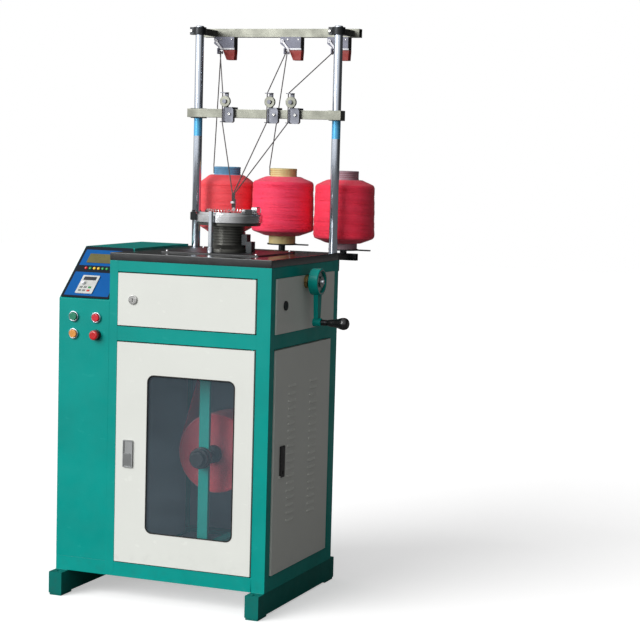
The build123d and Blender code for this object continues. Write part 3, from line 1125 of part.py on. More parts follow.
def detectors():
    """Three yarn detectors under the upper bar: housing, lens and drop lever each."""
    housings = []
    lenses = []
    for n, x0 in enumerate(DETECTOR_X):
        y1 = UPPER_BAR_Y + 8
        y0 = y1 - DETECTOR_DEPTH
        z1 = UPPER_BAR_Z
        z0 = z1 - DETECTOR_HEIGHT
        x1 = x0 + DETECTOR_WIDTH
        side = x0 + DETECTOR_EAR
        body = block(side, x1, y0, y1, z0, z1)
        corners = [(x0, z1), (side, z1), (side, z1 - 30), (x0, z1 - 20)]
        ear = make_face(Polyline(*[(x, y0, z) for x, z in corners], close=True))
        body += extrude(ear, 10, dir=(0, 1, 0))
        body = fillet(body.edges().filter_by(Axis.Z).group_by(Axis.X)[-1], 3)
        px, py, pz = lever_pivot(n)
        ex, ey, ez = yarn_pin(n)
        body += block(ex - PIN_REACH - 3, ex - PIN_REACH, ey - 4, y0, ez - 4, z0 + 4)
        body += rod("x", (ex - PIN_REACH, ey, ez), PIN_RADIUS, 2 * PIN_REACH)
        body += rod("x", (ex + PIN_REACH, ey, ez), PIN_RADIUS + 2, 1.5)
        body += rod("y", (px, py - 3, pz), 2, y0 - py + 3)
        housings.append(body)
        low = z0 - LENS_HEIGHT
        outline = [(x1 - LENS_WIDTH, z0), (x1, z0), (x1 - 2, low), (x1 - LENS_WIDTH * 0.66, low)]
        face = make_face(Polyline(*[(x, y0 + 1, z) for x, z in outline], close=True))
        lenses.append(extrude(face, DETECTOR_DEPTH - 2, dir=(0, 1, 0)))
        lever = ring("y", (px, py - 2, pz), 5, 2 + RUNNING_CLEARANCE, 4.7)
        beam = Pos(px, py - 2, pz) * Rot(0, 50, 0) * block(4, LEVER_LENGTH, 0, 2.4, -2.5, 2.5)
        keep(f"detector_lever_{n + 1}", lever + beam)
    keep("detector_housings", *housings)
    keep("detector_lenses", *lenses)


def tensioner_axis(n):
    """The middle of a tensioner's discs; they turn about the row's Y."""
    return TENSIONER_X[n] - 6, LOWER_BAR_Y - TENSIONER_DEPTH - 4, LOWER_BAR_Z + BAR_SIZE + DISC_LIFT


def tensioners():
    """Three disc tensioners on the lower bar: clamp, stem, stud and guides in one, discs apart."""
    frames = []
    for n, x in enumerate(TENSIONER_X):
        half = TENSIONER_WIDTH / 2
        y1 = LOWER_BAR_Y
        y0 = y1 - TENSIONER_DEPTH
        z0 = LOWER_BAR_Z - 14
        z1 = LOWER_BAR_Z + BAR_SIZE + 3
        body = block(x - half, x + half, y0, y1, z0, z1)
        body = chamfer(body.edges().filter_by(Axis.Y), 4)
        body += block(x - half + 4, x + half - 4, y0, y1 + BAR_SIZE + 5, z1 - 2.9, z1 + 3)
        sx, sy, sz = tensioner_axis(n)
        body += block(sx - 5, sx + 5, y0, y0 + 7, z1, sz + 26)
        hx, hy, hz = hook_point(n)
        body += block(hx, sx + 6, hy - 7, y0 + 7, hz - 1, hz + 1) + rod("z", (hx, hy, hz - 1), 7, 2)
        body -= rod("z", (hx, hy, hz - 1), YARN_EYE, 2)
        body += rod("y", (sx, sy - 8, sz), STUD_RADIUS, y0 - sy + 8)
        body += rod("y", (sx, sy - 11, sz), 6, 5)
        gx, gy, gz = guide_point(n)
        eye = rod("z", (gx, gy, gz - 1.2), 6.8, 2.4) + block(gx - 4, gx + 4, gy, y0 + 2, gz - 1.2, gz + 1.2)
        body = body + eye - rod("z", (gx, gy, gz - 1.2), YARN_EYE, 2.4)
        frames.append(body)
        discs = []
        for start in (sy - DISC_SPLIT - DISC_THICKNESS, sy + 0.5):
            disc = ring("y", (sx, start, sz), DISC_RADIUS, STUD_RADIUS + RUNNING_CLEARANCE, DISC_THICKNESS)
            discs.append(chamfer(disc.edges().group_by(SortBy.LENGTH)[-1], 0.6))
        keep(f"tension_discs_{n + 1}", *discs)
    keep("tensioner_frames", *frames)


def hook_point(n):
    """The hole in a tensioner's top hook that its yarn comes in by."""
    sx, sy, sz = tensioner_axis(n)
    return sx - 9, sy + (0.5 - DISC_SPLIT) / 2, sz + 25


def guide_point(n):
    """The eye under a tensioner that its yarn leaves by."""
    sx, sy, sz = tensioner_axis(n)
    return sx - 9, sy + (0.5 - DISC_SPLIT) / 2, LOWER_BAR_Z - 12


def creel():
    """The rail behind the table with its arms, pegs, seats, tubes and wound packages."""
    half = CREEL_RAIL / 2
    z1 = CREEL_RAIL_Z + CREEL_RAIL
    rail = tube("x", *CREEL_RAIL_ENDS, CONE_Y - half, CONE_Y + half, CREEL_RAIL_Z, z1, CREEL_RAIL_WALL)
    pieces = [rail]
    for x in CREEL_ARMS_X:
        x0, x1 = x - CREEL_ARM_WIDTH / 2, x + CREEL_ARM_WIDTH / 2
        face = REAR + CREEL_PLATE_THICKNESS
        arm = block(x0, x1, REAR, CONE_Y - half, z1 - CREEL_ARM_THICKNESS, z1)
        arm += block(x0, x1, REAR, face, z1 - CREEL_PLATE_HEIGHT, z1)
        arm += rod("y", (x, face, z1 - CREEL_BOLT_DROP), CREEL_BOLT_RADIUS, 5)
        pieces.append(arm)
    tubes = []
    for n, x in enumerate(CONE_X):
        bottom = TUBE_BOTTOM_Z[n]
        peg = rod("z", (x, CONE_Y, z1), PEG_RADIUS, bottom - z1 + PEG_HEIGHT)
        peg += rod("z", (x, CONE_Y, bottom - SEAT_THICKNESS), SEAT_RADIUS, SEAT_THICKNESS)
        peg += rod("z", (x, CONE_Y, bottom), TUBE_RADIUS - TUBE_WALL, PLUG_HEIGHT)
        y0, y1 = CONE_Y - SEAT_TONGUE_WIDTH / 2, CONE_Y + SEAT_TONGUE_WIDTH / 2
        peg += block(x, x + SEAT_TONGUE_LENGTH, y0, y1, bottom - SEAT_THICKNESS, bottom)
        pieces.append(peg)
        height = TUBE_TOP_Z[n] - bottom
        tubes.append(ring("z", (x, CONE_Y, bottom), TUBE_RADIUS, TUBE_RADIUS - TUBE_WALL, height))
    keep("creel_rail", *pieces)
    keep("cone_tubes", *tubes)
    packages = []
    for n, x in enumerate(CONE_X):
        low, high, side = PACKAGE_BOTTOM_Z[n], PACKAGE_TOP_Z[n], PACKAGE_SHOULDER[n]
        radius = PACKAGE_RADIUS[n]
        bulge = 3.0
        points = [
            (TUBE_RADIUS, low), (PACKAGE_END_RADIUS, low),
            (radius - bulge, low + side * 0.7), (radius, low + side),
            (radius - 3, high - side), (radius - 3 - bulge, high - side * 0.75),
            (PACKAGE_END_RADIUS, high), (TUBE_RADIUS, high),
        ]
        packages.append(turned(points, x, CONE_Y))
    keep("yarn_packages", *packages)


def yarns():
    """The three yarns, taut from each tube's rim to the feeder, with a small arc at each guide."""
    strands = []
    fx, fy, fz = feed_point()
    for n, x in enumerate(CONE_X):
        rim = TUBE_RADIUS + YARN_RADIUS + SEAT_GAP
        start = (x - rim, CONE_Y - 6, PACKAGE_TOP_Z[n] + 3)
        lip = (x - rim, CONE_Y - 8, TUBE_TOP_Z[n] + 4)
        ex, ey, ez = yarn_pin(n)
        lap = PIN_RADIUS + YARN_RADIUS + SEAT_GAP
        behind = (ex, ey + lap, ez + lap)
        ahead = (ex, ey - lap * 0.45, ez + lap)
        shift = (n - 1) * (2 * YARN_RADIUS + SEAT_GAP)
        drop = (fx + shift, fy, fz + 26)
        end = (fx + shift, fy, BED_Z + 1 + NEEDLE_HEIGHT + 3)
        route = [start, lip, behind, ahead, hook_point(n), guide_point(n), drop, end]
        radii = [6, lap - 0.5, lap - 0.5, 6, 6, 8]
        path = FilletPolyline(*route, radius=radii)
        circle = Plane(origin=path @ 0, z_dir=path % 0) * Circle(YARN_RADIUS)
        strand = sweep(circle, path=path)
        print("yarn", n + 1, "length", round(path.length), "volume ratio",
              round(strand.volume / (path.length * math.pi * YARN_RADIUS**2), 4))
        strands.append(strand)
    keep("yarns", *strands)


def main():
    """Builds every piece and writes one file for each."""
    os.makedirs("parts", exist_ok=True)
    for build in (
        skids, cabinet_frame, inner_panels, table_top, front_door, upper_cover, side_covers, control_box,
        push_buttons, knitting_head, bearings, needle_cylinder, drive, take_down, rack, detectors,
        tensioners, creel, yarns,
    ):
        build()
    for name, shape in PARTS.items():
        export_step(shape, f"parts/{name}.step")
    print(len(PARTS), "pieces")


main()
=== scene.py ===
"""Dresses a circular hat knitting machine: finishes, windings, knitted cloth, fasteners, studio and camera.

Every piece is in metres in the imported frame. Places that come from the cabinet are written in millimetres
from the middle of the cabinet on the floor, and `spot` turns them into the frame.
"""

from __future__ import annotations

import json
import logging
import math
from contextlib import contextmanager
from dataclasses import dataclass
from enum import Enum
from typing import Callable, Iterator, Optional, Sequence

import bmesh
import bpy
from mathutils import Matrix, Vector

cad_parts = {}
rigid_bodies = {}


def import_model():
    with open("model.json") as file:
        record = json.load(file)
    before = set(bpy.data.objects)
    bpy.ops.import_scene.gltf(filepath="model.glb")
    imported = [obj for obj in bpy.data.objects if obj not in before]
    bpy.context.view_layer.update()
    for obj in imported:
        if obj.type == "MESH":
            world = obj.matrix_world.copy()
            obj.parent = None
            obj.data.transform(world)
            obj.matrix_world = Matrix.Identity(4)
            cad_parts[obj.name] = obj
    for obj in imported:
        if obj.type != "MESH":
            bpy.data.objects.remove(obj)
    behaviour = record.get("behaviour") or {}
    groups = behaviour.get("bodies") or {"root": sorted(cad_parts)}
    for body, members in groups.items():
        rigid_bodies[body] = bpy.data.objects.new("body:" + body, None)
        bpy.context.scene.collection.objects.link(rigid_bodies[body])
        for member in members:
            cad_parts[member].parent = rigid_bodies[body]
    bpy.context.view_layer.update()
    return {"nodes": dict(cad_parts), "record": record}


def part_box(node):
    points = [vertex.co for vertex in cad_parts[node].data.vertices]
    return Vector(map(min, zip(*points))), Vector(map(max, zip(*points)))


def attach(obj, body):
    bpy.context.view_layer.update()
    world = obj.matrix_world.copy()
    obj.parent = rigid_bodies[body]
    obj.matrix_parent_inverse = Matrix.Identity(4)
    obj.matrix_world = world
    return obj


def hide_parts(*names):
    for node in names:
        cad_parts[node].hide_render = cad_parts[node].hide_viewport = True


logging.basicConfig(level=logging.INFO, format="%(message)s")
LOG = logging.getLogger("machine")

for leftover in list(bpy.data.objects):
    bpy.data.objects.remove(leftover)
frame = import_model()

MM = 0.001
WHITE = (1.0, 1.0, 1.0, 1.0)
Point = tuple[float, float, float]
Outline = list[tuple[float, float]]
Colour = tuple[float, float, float]
Piece = bpy.types.Object
Material = bpy.types.Material
Node = bpy.types.Node
Socket = bpy.types.NodeSocket


def srgb(red: float, green: float, blue: float) -> Colour:
    """Turns a colour as seen on a screen, 0 to 255, into scene values."""
    shares = (red / 255.0, green / 255.0, blue / 255.0)
    return tuple(s / 12.92 if s <= 0.04045 else ((s + 0.055) / 1.055) ** 2.4 for s in shares)


def cabinet_middle() -> Vector:
    """Returns the point on the floor under the middle of the cabinet's frame."""
    low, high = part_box("cabinet_frame")
    return Vector(((low.x + high.x) / 2, (low.y + high.y) / 2, 0.0))


MIDDLE = cabinet_middle()


def spot(x: float, y: float, z: float) -> Vector:
    """Turns millimetres from the cabinet's middle into a point of the frame."""
    return MIDDLE + Vector((x, y, z)) * MM


def circle_of(centre: Point, radius: float, count: int, start: float, across: str = "XY") -> list[Vector]:
    """Returns points of the frame round a centre.

    Args:
        centre: the middle, in millimetres from the cabinet's middle.
        radius: how far out the points are, in millimetres.
        count: how many points.
        start: where the first one is, as a share of a step.
        across: the two axes that the circle lies in.

    Returns:
        The points in order.
    """
    points = []
    for step in range(count):
        angle = math.tau * (step + start) / count
        place = list(centre)
        place["XYZ".index(across[0])] += radius * math.cos(angle)
        place["XYZ".index(across[1])] += radius * math.sin(angle)
        points.append(spot(*place))
    return points


def linked(name: str, data: object) -> Piece:
    """Makes an object from its data and links it to the scene."""
    piece = bpy.data.objects.new(name, data)
    bpy.context.scene.collection.objects.link(piece)
    return piece


@contextmanager
def editing(mesh: bpy.types.Mesh) -> Iterator[bmesh.types.BMesh]:
    """Opens a mesh for changes and writes them back."""
    work = bmesh.new()
    work.from_mesh(mesh)
    yield work
    work.to_mesh(mesh)
    work.free()


def add_node(tree: bpy.types.NodeTree, kind: str, inputs: Optional[dict] = None, **settings: object) -> Node:
    """Adds a node to a tree.

    Args:
        tree: the node tree.
        kind: the node's type.
        inputs: sockets or values by the input's name or number.
        settings: the node's properties.

    Returns:
        The node, with its inputs linked or set.
    """
    node = tree.nodes.new(kind)
    for key, value in settings.items():
        setattr(node, key, value)
    for key, value in (inputs or {}).items():
        if isinstance(value, Socket):
            tree.links.new(value, node.inputs[key])
        else:
            node.inputs[key].default_value = value
    return node


class Shape:
    """Short calls that make, tidy and place meshes."""

    @staticmethod
    def from_data(
        name: str, points: Sequence[Sequence[float]], faces: Sequence[Sequence[int]] = (),
        edges: Sequence[Sequence[int]] = (),
    ) -> Piece:
        """Makes an object from points in the frame, with faces or edges as indices of the points."""
        mesh = bpy.data.meshes.new(name)
        mesh.from_pydata([tuple(p) for p in points], list(edges), [tuple(f) for f in faces])
        return linked(name, mesh)

    @staticmethod
    def tidy(piece: Piece, merge: float = 1e-6) -> Piece:
        """Merges doubles and points the faces outwards."""
        with editing(piece.data) as work:
            bmesh.ops.remove_doubles(work, verts=work.verts, dist=merge)
            bmesh.ops.recalc_face_normals(work, faces=work.faces)
        return piece

    @staticmethod
    def smooth(piece: Piece, angle: float = 35.0) -> Piece:
        """Shades a piece smooth, with hard edges where faces meet at more than an angle in degrees."""
        limit = math.radians(angle)
        with editing(piece.data) as work:
            for face in work.faces:
                face.smooth = True
            for edge in work.edges:
                edge.smooth = len(edge.link_faces) == 2 and edge.calc_face_angle(0.0) < limit
        return piece

    @staticmethod
    def wrapped(piece: Piece, corners: Sequence[tuple[float, float]], merge: float = 1e-7) -> Piece:
        """Gives a fresh mesh its UV map, one pair for each face corner in order, and tidies it."""
        layer = piece.data.uv_layers.new(name="wrap")
        for loop, corner in zip(layer.data, corners):
            loop.uv = corner
        return Shape.tidy(piece, merge)

    @staticmethod
    def lathe(
        name: str, profile: Sequence[tuple[float, float]], centre: Vector, axis: str = "Z",
        segments: int = 96, angle: float = 35.0, waves: Optional[Callable[[float, float], float]] = None,
    ) -> Piece:
        """Turns a closed or axis-to-axis profile about a line, with a UV map of turn and profile length.

        Args:
            name: the piece's name.
            profile: (radius, height) points in metres, from the centre.
            centre: where height 0 of the axis is.
            axis: the axis letter.
            segments: how many steps round.
            angle: the smoothing angle in degrees.
            waves: an optional change of radius from (turn 0 to 1, share of profile 0 to 1).

        Returns:
            The turned object.
        """
        points: list[Vector] = []
        rows = len(profile)
        lengths = [0.0]
        for first, second in zip(profile, profile[1:]):
            lengths.append(lengths[-1] + math.dist(first, second))
        total = max(lengths[-1], 1e-9)
        turn_to = {"Z": Matrix.Identity(3), "Y": Matrix.Rotation(-math.pi / 2, 3, "X")}[axis]
        for step in range(segments):
            share = step / segments
            for row, (radius, height) in enumerate(profile):
                reach = radius + (waves(share, lengths[row] / total) if waves and radius > 0 else 0.0)
                place = Vector((reach * math.cos(share * math.tau), reach * math.sin(share * math.tau), height))
                points.append(centre + turn_to @ place)
        faces, corners = [], []
        for step in range(segments):
            after = (step + 1) % segments
            left, right = step / segments, (step + 1) / segments
            for row, (low, high) in enumerate(zip(lengths, lengths[1:])):
                here, there = step * rows + row, after * rows + row
                faces.append((here, there, there + 1, here + 1))
                corners += [(left, low), (right, low), (right, high), (left, high)]
        return Shape.smooth(Shape.wrapped(Shape.from_data(name, points, faces), corners), angle)

    @staticmethod
    def slab(name: str, low: Vector, high: Vector, bevel: float = 0.0008) -> Piece:
        """Makes a bevelled block between two corners."""
        piece = linked(name, bpy.data.meshes.new(name))
        size = high - low
        with editing(piece.data) as work:
            bmesh.ops.create_cube(work, size=1.0)
            for vertex in work.verts:
                vertex.co = [start + (part + 0.5) * side for start, part, side in zip(low, vertex.co, size)]
            width = min(bevel, min(size) * 0.45)
            bmesh.ops.bevel(work, geom=list(work.edges), offset=width, segments=2, affect="EDGES", profile=0.5)
        return Shape.smooth(piece, 50)

    @staticmethod
    def refined(node: str, name: str, bevel: float = 0.0006, angle: float = 32.0) -> Piece:
        """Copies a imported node, merges its loose triangles and softens its edges.

        Args:
            node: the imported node.
            name: the new piece's name.
            bevel: the width of the softened edges in metres, 0 for none.
            angle: the smoothing angle in degrees.

        Returns:
            The copy, smooth shaded, with its flat faces joined.
        """
        mesh = frame["nodes"][node].data.copy()
        mesh.name = name
        mesh.materials.clear()
        piece = linked(name, mesh)
        with editing(mesh) as work:
            bmesh.ops.remove_doubles(work, verts=work.verts, dist=2e-6)
            bmesh.ops.dissolve_limit(work, angle_limit=math.radians(0.6), verts=work.verts, edges=work.edges)
        if mesh.has_custom_normals:
            mesh.attributes.remove(mesh.attributes["custom_normal"])
        if bevel > 0:
            rounding = piece.modifiers.new("edges", "BEVEL")
            rounding.width = bevel
            rounding.segments = 2
            rounding.limit_method = "ANGLE"
            rounding.angle_limit = math.radians(angle)
            Shape.settle(piece)
            Shape.kept_inside(piece, *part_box(node))
        return Shape.leaned(Shape.smooth(piece, angle))

    @staticmethod
    def kept_inside(piece: Piece, low: Vector, high: Vector) -> None:
        """Moves points that softening pushed past a node's own box back onto the box."""
        for point in piece.data.vertices:
            point.co = [min(max(part, least), most) for part, least, most in zip(point.co, low, high)]

    @staticmethod
    def leaned(piece: Piece) -> Piece:
        """Leans the shading of softened edges towards the large flat faces beside them."""
        leaning = piece.modifiers.new("leaning", "WEIGHTED_NORMAL")
        leaning.mode = "FACE_AREA"
        leaning.weight = 100
        leaning.keep_sharp = True
        return Shape.settle(piece)

    @staticmethod
    def settle(piece: Piece) -> Piece:
        """Turns a piece with modifiers into a plain mesh and drops the modifiers."""
        bpy.context.view_layer.update()
        graph = bpy.context.evaluated_depsgraph_get()
        result = bpy.data.meshes.new_from_object(piece.evaluated_get(graph))
        piece.modifiers.clear()
        piece.data = result
        return piece

    @staticmethod
    def joined(name: str, pieces: Sequence[Piece]) -> Piece:
        """Joins several objects with the same finish into one mesh under a new name."""
        mesh = bpy.data.meshes.new(name)
        with editing(mesh) as work:
            for piece in pieces:
                work.from_mesh(piece.data)
        for piece in pieces:
            bpy.data.objects.remove(piece)
        return linked(name, mesh)


class Weave:
    """A material under construction, with short calls for its nodes."""

    def __init__(self, name: str) -> None:
        """Starts a material with one shader."""
        self.material = bpy.data.materials.new(name)
        self.material.use_nodes = True
        self.tree = self.material.node_tree
        self.tree.nodes.clear()
        self.shader = self.add("ShaderNodeBsdfPrincipled")
        self.add("ShaderNodeOutputMaterial", {"Surface": self.shader.outputs[0]})
        place = self.add("ShaderNodeTexCoord")
        self.here, self.uv = place.outputs["Object"], place.outputs["UV"]

    def add(self, kind: str, inputs: Optional[dict] = None, **settings: object) -> Node:
        """Adds a node, with its inputs linked or set, and sets its properties."""
        return add_node(self.tree, kind, inputs, **settings)

    def set(self, **values: object) -> None:
        """Sets the shader's sockets by name, with underscores for spaces."""
        for key, value in values.items():
            target = self.shader.inputs[key.replace("_", " ")]
            if isinstance(value, Socket):
                self.tree.links.new(value, target)
            else:
                target.default_value = (*value, 1.0) if target.type == "RGBA" else value

    def math(self, operation: str, first: object, second: object = 0.0) -> Socket:
        """Adds a math node and returns its value."""
        return self.add("ShaderNodeMath", {0: first, 1: second}, operation=operation).outputs[0]

    def stretched(self, scale: Point, uv: bool = False) -> Socket:
        """Returns the piece's own coordinates, scaled along each axis."""
        inputs = {"Vector": self.uv if uv else self.here, "Scale": scale}
        return self.add("ShaderNodeMapping", inputs).outputs[0]

    def noise(self, vector: Socket, scale: float, detail: float = 3.0) -> Socket:
        """Returns a noise value on a vector."""
        inputs = {"Vector": vector, "Scale": scale, "Detail": detail}
        return self.add("ShaderNodeTexNoise", inputs).outputs["Fac"]

    def ramp(self, value: Socket, low: float, high: float, start: float, end: float) -> Socket:
        """Maps a value from one range to another, clamped."""
        inputs = dict(enumerate((value, low, high, start, end)))
        return self.add("ShaderNodeMapRange", inputs, clamp=True).outputs[0]

    def patches(self, scale: float, detail: float, low: float, high: float, start: float, end: float) -> Socket:
        """Returns noise over the piece, mapped from one range to another."""
        return self.ramp(self.noise(self.here, scale, detail), low, high, start, end)

    def mixed(self, share: object, first: object, second: object) -> Socket:
        """Mixes two colours."""
        first, second = ((*part, 1.0) if isinstance(part, tuple) else part for part in (first, second))
        return self.add("ShaderNodeMix", {0: share, 6: first, 7: second}, data_type="RGBA").outputs[2]

    def raised(self, height: Socket, strength: float, distance: float = 0.0005) -> None:
        """Adds a bump on top of any that the shader already has."""
        bump = self.add("ShaderNodeBump", {"Strength": strength, "Distance": distance, "Height": height})
        before = self.shader.inputs["Normal"]
        if before.is_linked:
            self.tree.links.new(before.links[0].from_socket, bump.inputs["Normal"])
        self.tree.links.new(bump.outputs[0], before)

    def parts(self, vector: Socket) -> Sequence[Socket]:
        """Returns the three parts of a vector."""
        return self.add("ShaderNodeSeparateXYZ", {0: vector}).outputs


def scaled(colour: Colour, factor: float, lift: float = 0.0) -> Colour:
    """Returns a colour made lighter or darker, up to white."""
    return tuple(min(1.0, part * factor + lift) for part in colour)


class Grain(Enum):
    """The way that the marks of machining or brushing run."""

    ALONG_X = (4.0, 900.0, 900.0)
    ALONG_Z = (900.0, 900.0, 4.0)
    ROUND_Z = (60.0, 60.0, 2600.0)
    ROUND_X = (2600.0, 60.0, 60.0)
    ROUND_Y = (60.0, 2600.0, 60.0)
    CAST = (700.0, 700.0, 700.0)


@dataclass(frozen=True)
class Enamel:
    """Sprayed paint on steel, with a light orange peel, faint clouds and dirt low down."""

    name: str
    colour: Colour
    roughness: float = 0.3
    coat: float = 0.05
    cloud: float = 0.06
    dirt: float = 0.25
    shine: float = 0.14

    def material(self) -> Material:
        """Returns the paint as a node material."""
        paint = Weave(self.name)
        dark, grime = scaled(self.colour, 1 - self.cloud * 3), scaled(self.colour, 0.35, 0.02)
        colour = paint.mixed(paint.patches(7.0, 4.0, 0.35, 0.75, 0.0, 1.0), self.colour, dark)
        low = paint.ramp(paint.parts(paint.here)["Z"], 0.02, 0.16, self.dirt, 0.0)
        speck = paint.patches(45.0, 6.0, 0.5, 0.72, 0.0, 1.0)
        colour = paint.mixed(paint.math("MULTIPLY", low, speck), colour, grime)
        scuff = paint.noise(paint.stretched((30.0, 220.0, 60.0)), 1.0, 8.0)
        colour = paint.mixed(paint.ramp(scuff, 0.66, 0.72, 0.0, 0.16), colour, scaled(self.colour, 1.25, 0.03))
        paint.set(Base_Color=colour, Coat_Weight=self.coat, Coat_Roughness=0.12, Specular_IOR_Level=self.shine)
        paint.set(Roughness=paint.patches(22.0, 3.0, 0.3, 0.7, self.roughness * 0.85, self.roughness * 1.25))
        paint.raised(paint.noise(paint.here, 420.0, 2.0), 0.05, 0.0004)
        paint.raised(paint.noise(paint.here, 60.0, 2.0), 0.04, 0.0006)
        return paint.material


@dataclass(frozen=True)
class Metal:
    """Bare metal with marks that run one way, and stains."""

    name: str
    colour: Colour
    roughness: float = 0.28
    grain: Grain = Grain.CAST
    depth: float = 0.12
    stain: float = 0.25
    metallic: float = 1.0

    def material(self) -> Material:
        """Returns the metal as a node material."""
        metal = Weave(self.name)
        cloud = metal.patches(24.0, 6.0, 0.38, 0.72, 0.0, 1.0)
        marks = metal.noise(metal.stretched(self.grain.value), 1.0, 2.0)
        colour = metal.mixed(cloud, self.colour, scaled(self.colour, 1 - self.stain))
        colour = metal.mixed(metal.ramp(marks, 0.5, 0.8, 0.0, 0.35), colour, scaled(self.colour, 1.15, 0.02))
        metal.set(Base_Color=colour, Metallic=self.metallic, Specular_IOR_Level=0.5)
        rough = metal.ramp(cloud, 0.0, 1.0, self.roughness * 0.85, min(1.0, self.roughness * 1.35))
        metal.set(Roughness=rough)
        metal.raised(marks, self.depth, 0.0003)
        return metal.material


@dataclass(frozen=True)
class Plastic:
    """Moulded plastic with a fine grain and slight unevenness."""

    name: str
    colour: Colour
    roughness: float = 0.4
    coat: float = 0.0
    grain: float = 0.06
    glow: float = 0.0

    def material(self) -> Material:
        """Returns the plastic as a node material."""
        plastic = Weave(self.name)
        uneven = plastic.patches(60.0, 4.0, 0.4, 0.7, 0.0, 1.0)
        colour = plastic.mixed(uneven, self.colour, scaled(self.colour, 0.82))
        plastic.set(Base_Color=colour, Coat_Weight=self.coat, Specular_IOR_Level=0.5)
        plastic.set(Roughness=plastic.patches(90.0, 3.0, 0.3, 0.7, self.roughness * 0.85, self.roughness * 1.2))
        if self.glow > 0:
            plastic.set(Emission_Color=self.colour, Emission_Strength=self.glow)
        plastic.raised(plastic.noise(plastic.here, 1600.0, 1.0), self.grain, 0.0002)
        return plastic.material


@dataclass(frozen=True)
class Pane:
    """A tinted clear sheet with faint smears."""

    name: str
    colour: Colour
    alpha: float

    def material(self) -> Material:
        """Returns the pane as a node material."""
        pane = Weave(self.name)
        smear = pane.noise(pane.stretched((6.0, 6.0, 14.0)), 1.0, 5.0)
        pane.set(Base_Color=self.colour, Alpha=pane.ramp(smear, 0.3, 0.75, self.alpha * 0.85, self.alpha * 1.2))
        pane.set(Roughness=pane.patches(12.0, 3.0, 0.3, 0.7, 0.03, 0.09), Specular_IOR_Level=0.6)
        return pane.material


@dataclass(frozen=True)
class WoundYarn:
    """Yarn wound crosswise on a package: two sets of slanting strands over the piece's own UV map."""

    name: str
    colour: Colour
    shade: Colour
    pitch: float = 0.0022
    slant: float = 26.0

    def material(self) -> Material:
        """Returns the winding as a node material."""
        yarn = Weave(self.name)
        turn, rise, _ = yarn.parts(yarn.uv)
        rows = yarn.math("DIVIDE", rise, self.pitch)
        heights = []
        for way in (1.0, -1.0):
            lean = yarn.math("MULTIPLY", turn, way * self.slant)
            wave = yarn.math("SINE", yarn.math("MULTIPLY", yarn.math("ADD", rows, lean), math.tau))
            heights.append(yarn.ramp(wave, -1.0, 1.0, 0.0, 1.0))
        patch = yarn.noise(yarn.stretched((26.0, 70.0, 1.0), uv=True), 1.0, 3.0)
        choose = yarn.ramp(patch, 0.44, 0.56, 0.0, 1.0)
        strands = {0: choose, 2: heights[0], 3: heights[1]}
        strand = yarn.add("ShaderNodeMix", strands, data_type="FLOAT").outputs[0]
        streak = yarn.noise(yarn.stretched((2.0, 42.0, 1.0), uv=True), 1.0, 4.0)
        tone = yarn.mixed(yarn.ramp(streak, 0.3, 0.7, 0.0, 0.3), self.colour, self.shade)
        # Darker towards the shade colour where the strands are low, in the grooves between them: painted shade.
        colour = yarn.mixed(yarn.ramp(strand, 0.0, 0.6, 0.25, 0.0), tone, self.shade)
        yarn.set(Base_Color=colour, Roughness=0.55, Sheen_Weight=0.2, Sheen_Roughness=0.4, Specular_IOR_Level=0.25)
        yarn.raised(strand, 0.55, 0.0009)
        yarn.raised(yarn.noise(yarn.stretched((900.0, 5200.0, 1.0), uv=True), 1.0, 2.0), 0.25, 0.0003)
        return yarn.material


@dataclass(frozen=True)
class Knit:
    """Plain knitted cloth: V stitches over a UV map of the share of a turn and metres along."""

    name: str
    colour: Colour
    shade: Colour
    columns: float
    row: float
    turned: bool = False

    def material(self) -> Material:
        """Returns the cloth as a node material."""
        cloth = Weave(self.name)
        turn, rise, _ = cloth.parts(cloth.uv)
        wale, course = cloth.math("MULTIPLY", turn, self.columns), cloth.math("DIVIDE", rise, self.row)
        if self.turned:
            wale, course = course, wale
        side = cloth.math("ABSOLUTE", cloth.math("SUBTRACT", cloth.math("FRACT", wale), 0.5))
        row = cloth.math("FRACT", cloth.math("SUBTRACT", course, cloth.math("MULTIPLY", side, 1.1)))
        lobe = cloth.math("SINE", cloth.math("MULTIPLY", row, math.pi))
        arm = cloth.math("SINE", cloth.math("MULTIPLY", side, math.tau))
        height = cloth.math("MULTIPLY", lobe, arm)
        tone = cloth.mixed(cloth.patches(30.0, 3.0, 0.3, 0.7, 0.0, 0.6), self.colour, self.shade)
        # Darker towards the shade colour where the stitch height is low, in the gaps between lobes: painted shade.
        colour = cloth.mixed(cloth.ramp(height, 0.0, 0.75, 0.75, 0.0), tone, self.shade)
        cloth.set(Base_Color=colour, Roughness=0.75, Sheen_Weight=0.6, Sheen_Roughness=0.5, Specular_IOR_Level=0.25)
        cloth.raised(height, 0.8, 0.0012)
        cloth.raised(cloth.noise(cloth.here, 2400.0, 3.0), 0.2, 0.0004)
        return cloth.material


@dataclass(frozen=True)
class TwistedStrand:
    """A strand of two plies; the twist runs slantwise over the piece."""

    name: str
    colour: Colour

    def material(self) -> Material:
        """Returns the strand as a node material."""
        strand = Weave(self.name)
        inputs = {"Scale": 90.0, "Distortion": 1.5, "Vector": strand.here}
        wave = strand.add("ShaderNodeTexWave", inputs, wave_type="BANDS", bands_direction="DIAGONAL").outputs["Fac"]
        # Lighter on the crests of the twist's bands, which also drive the bump: painted highlight.
        colour = strand.mixed(wave, self.colour, scaled(self.colour, 1.8, 0.02))
        strand.set(Base_Color=colour, Roughness=0.7, Sheen_Weight=0.4)
        strand.raised(wave, 0.5, 0.0006)
        return strand.material


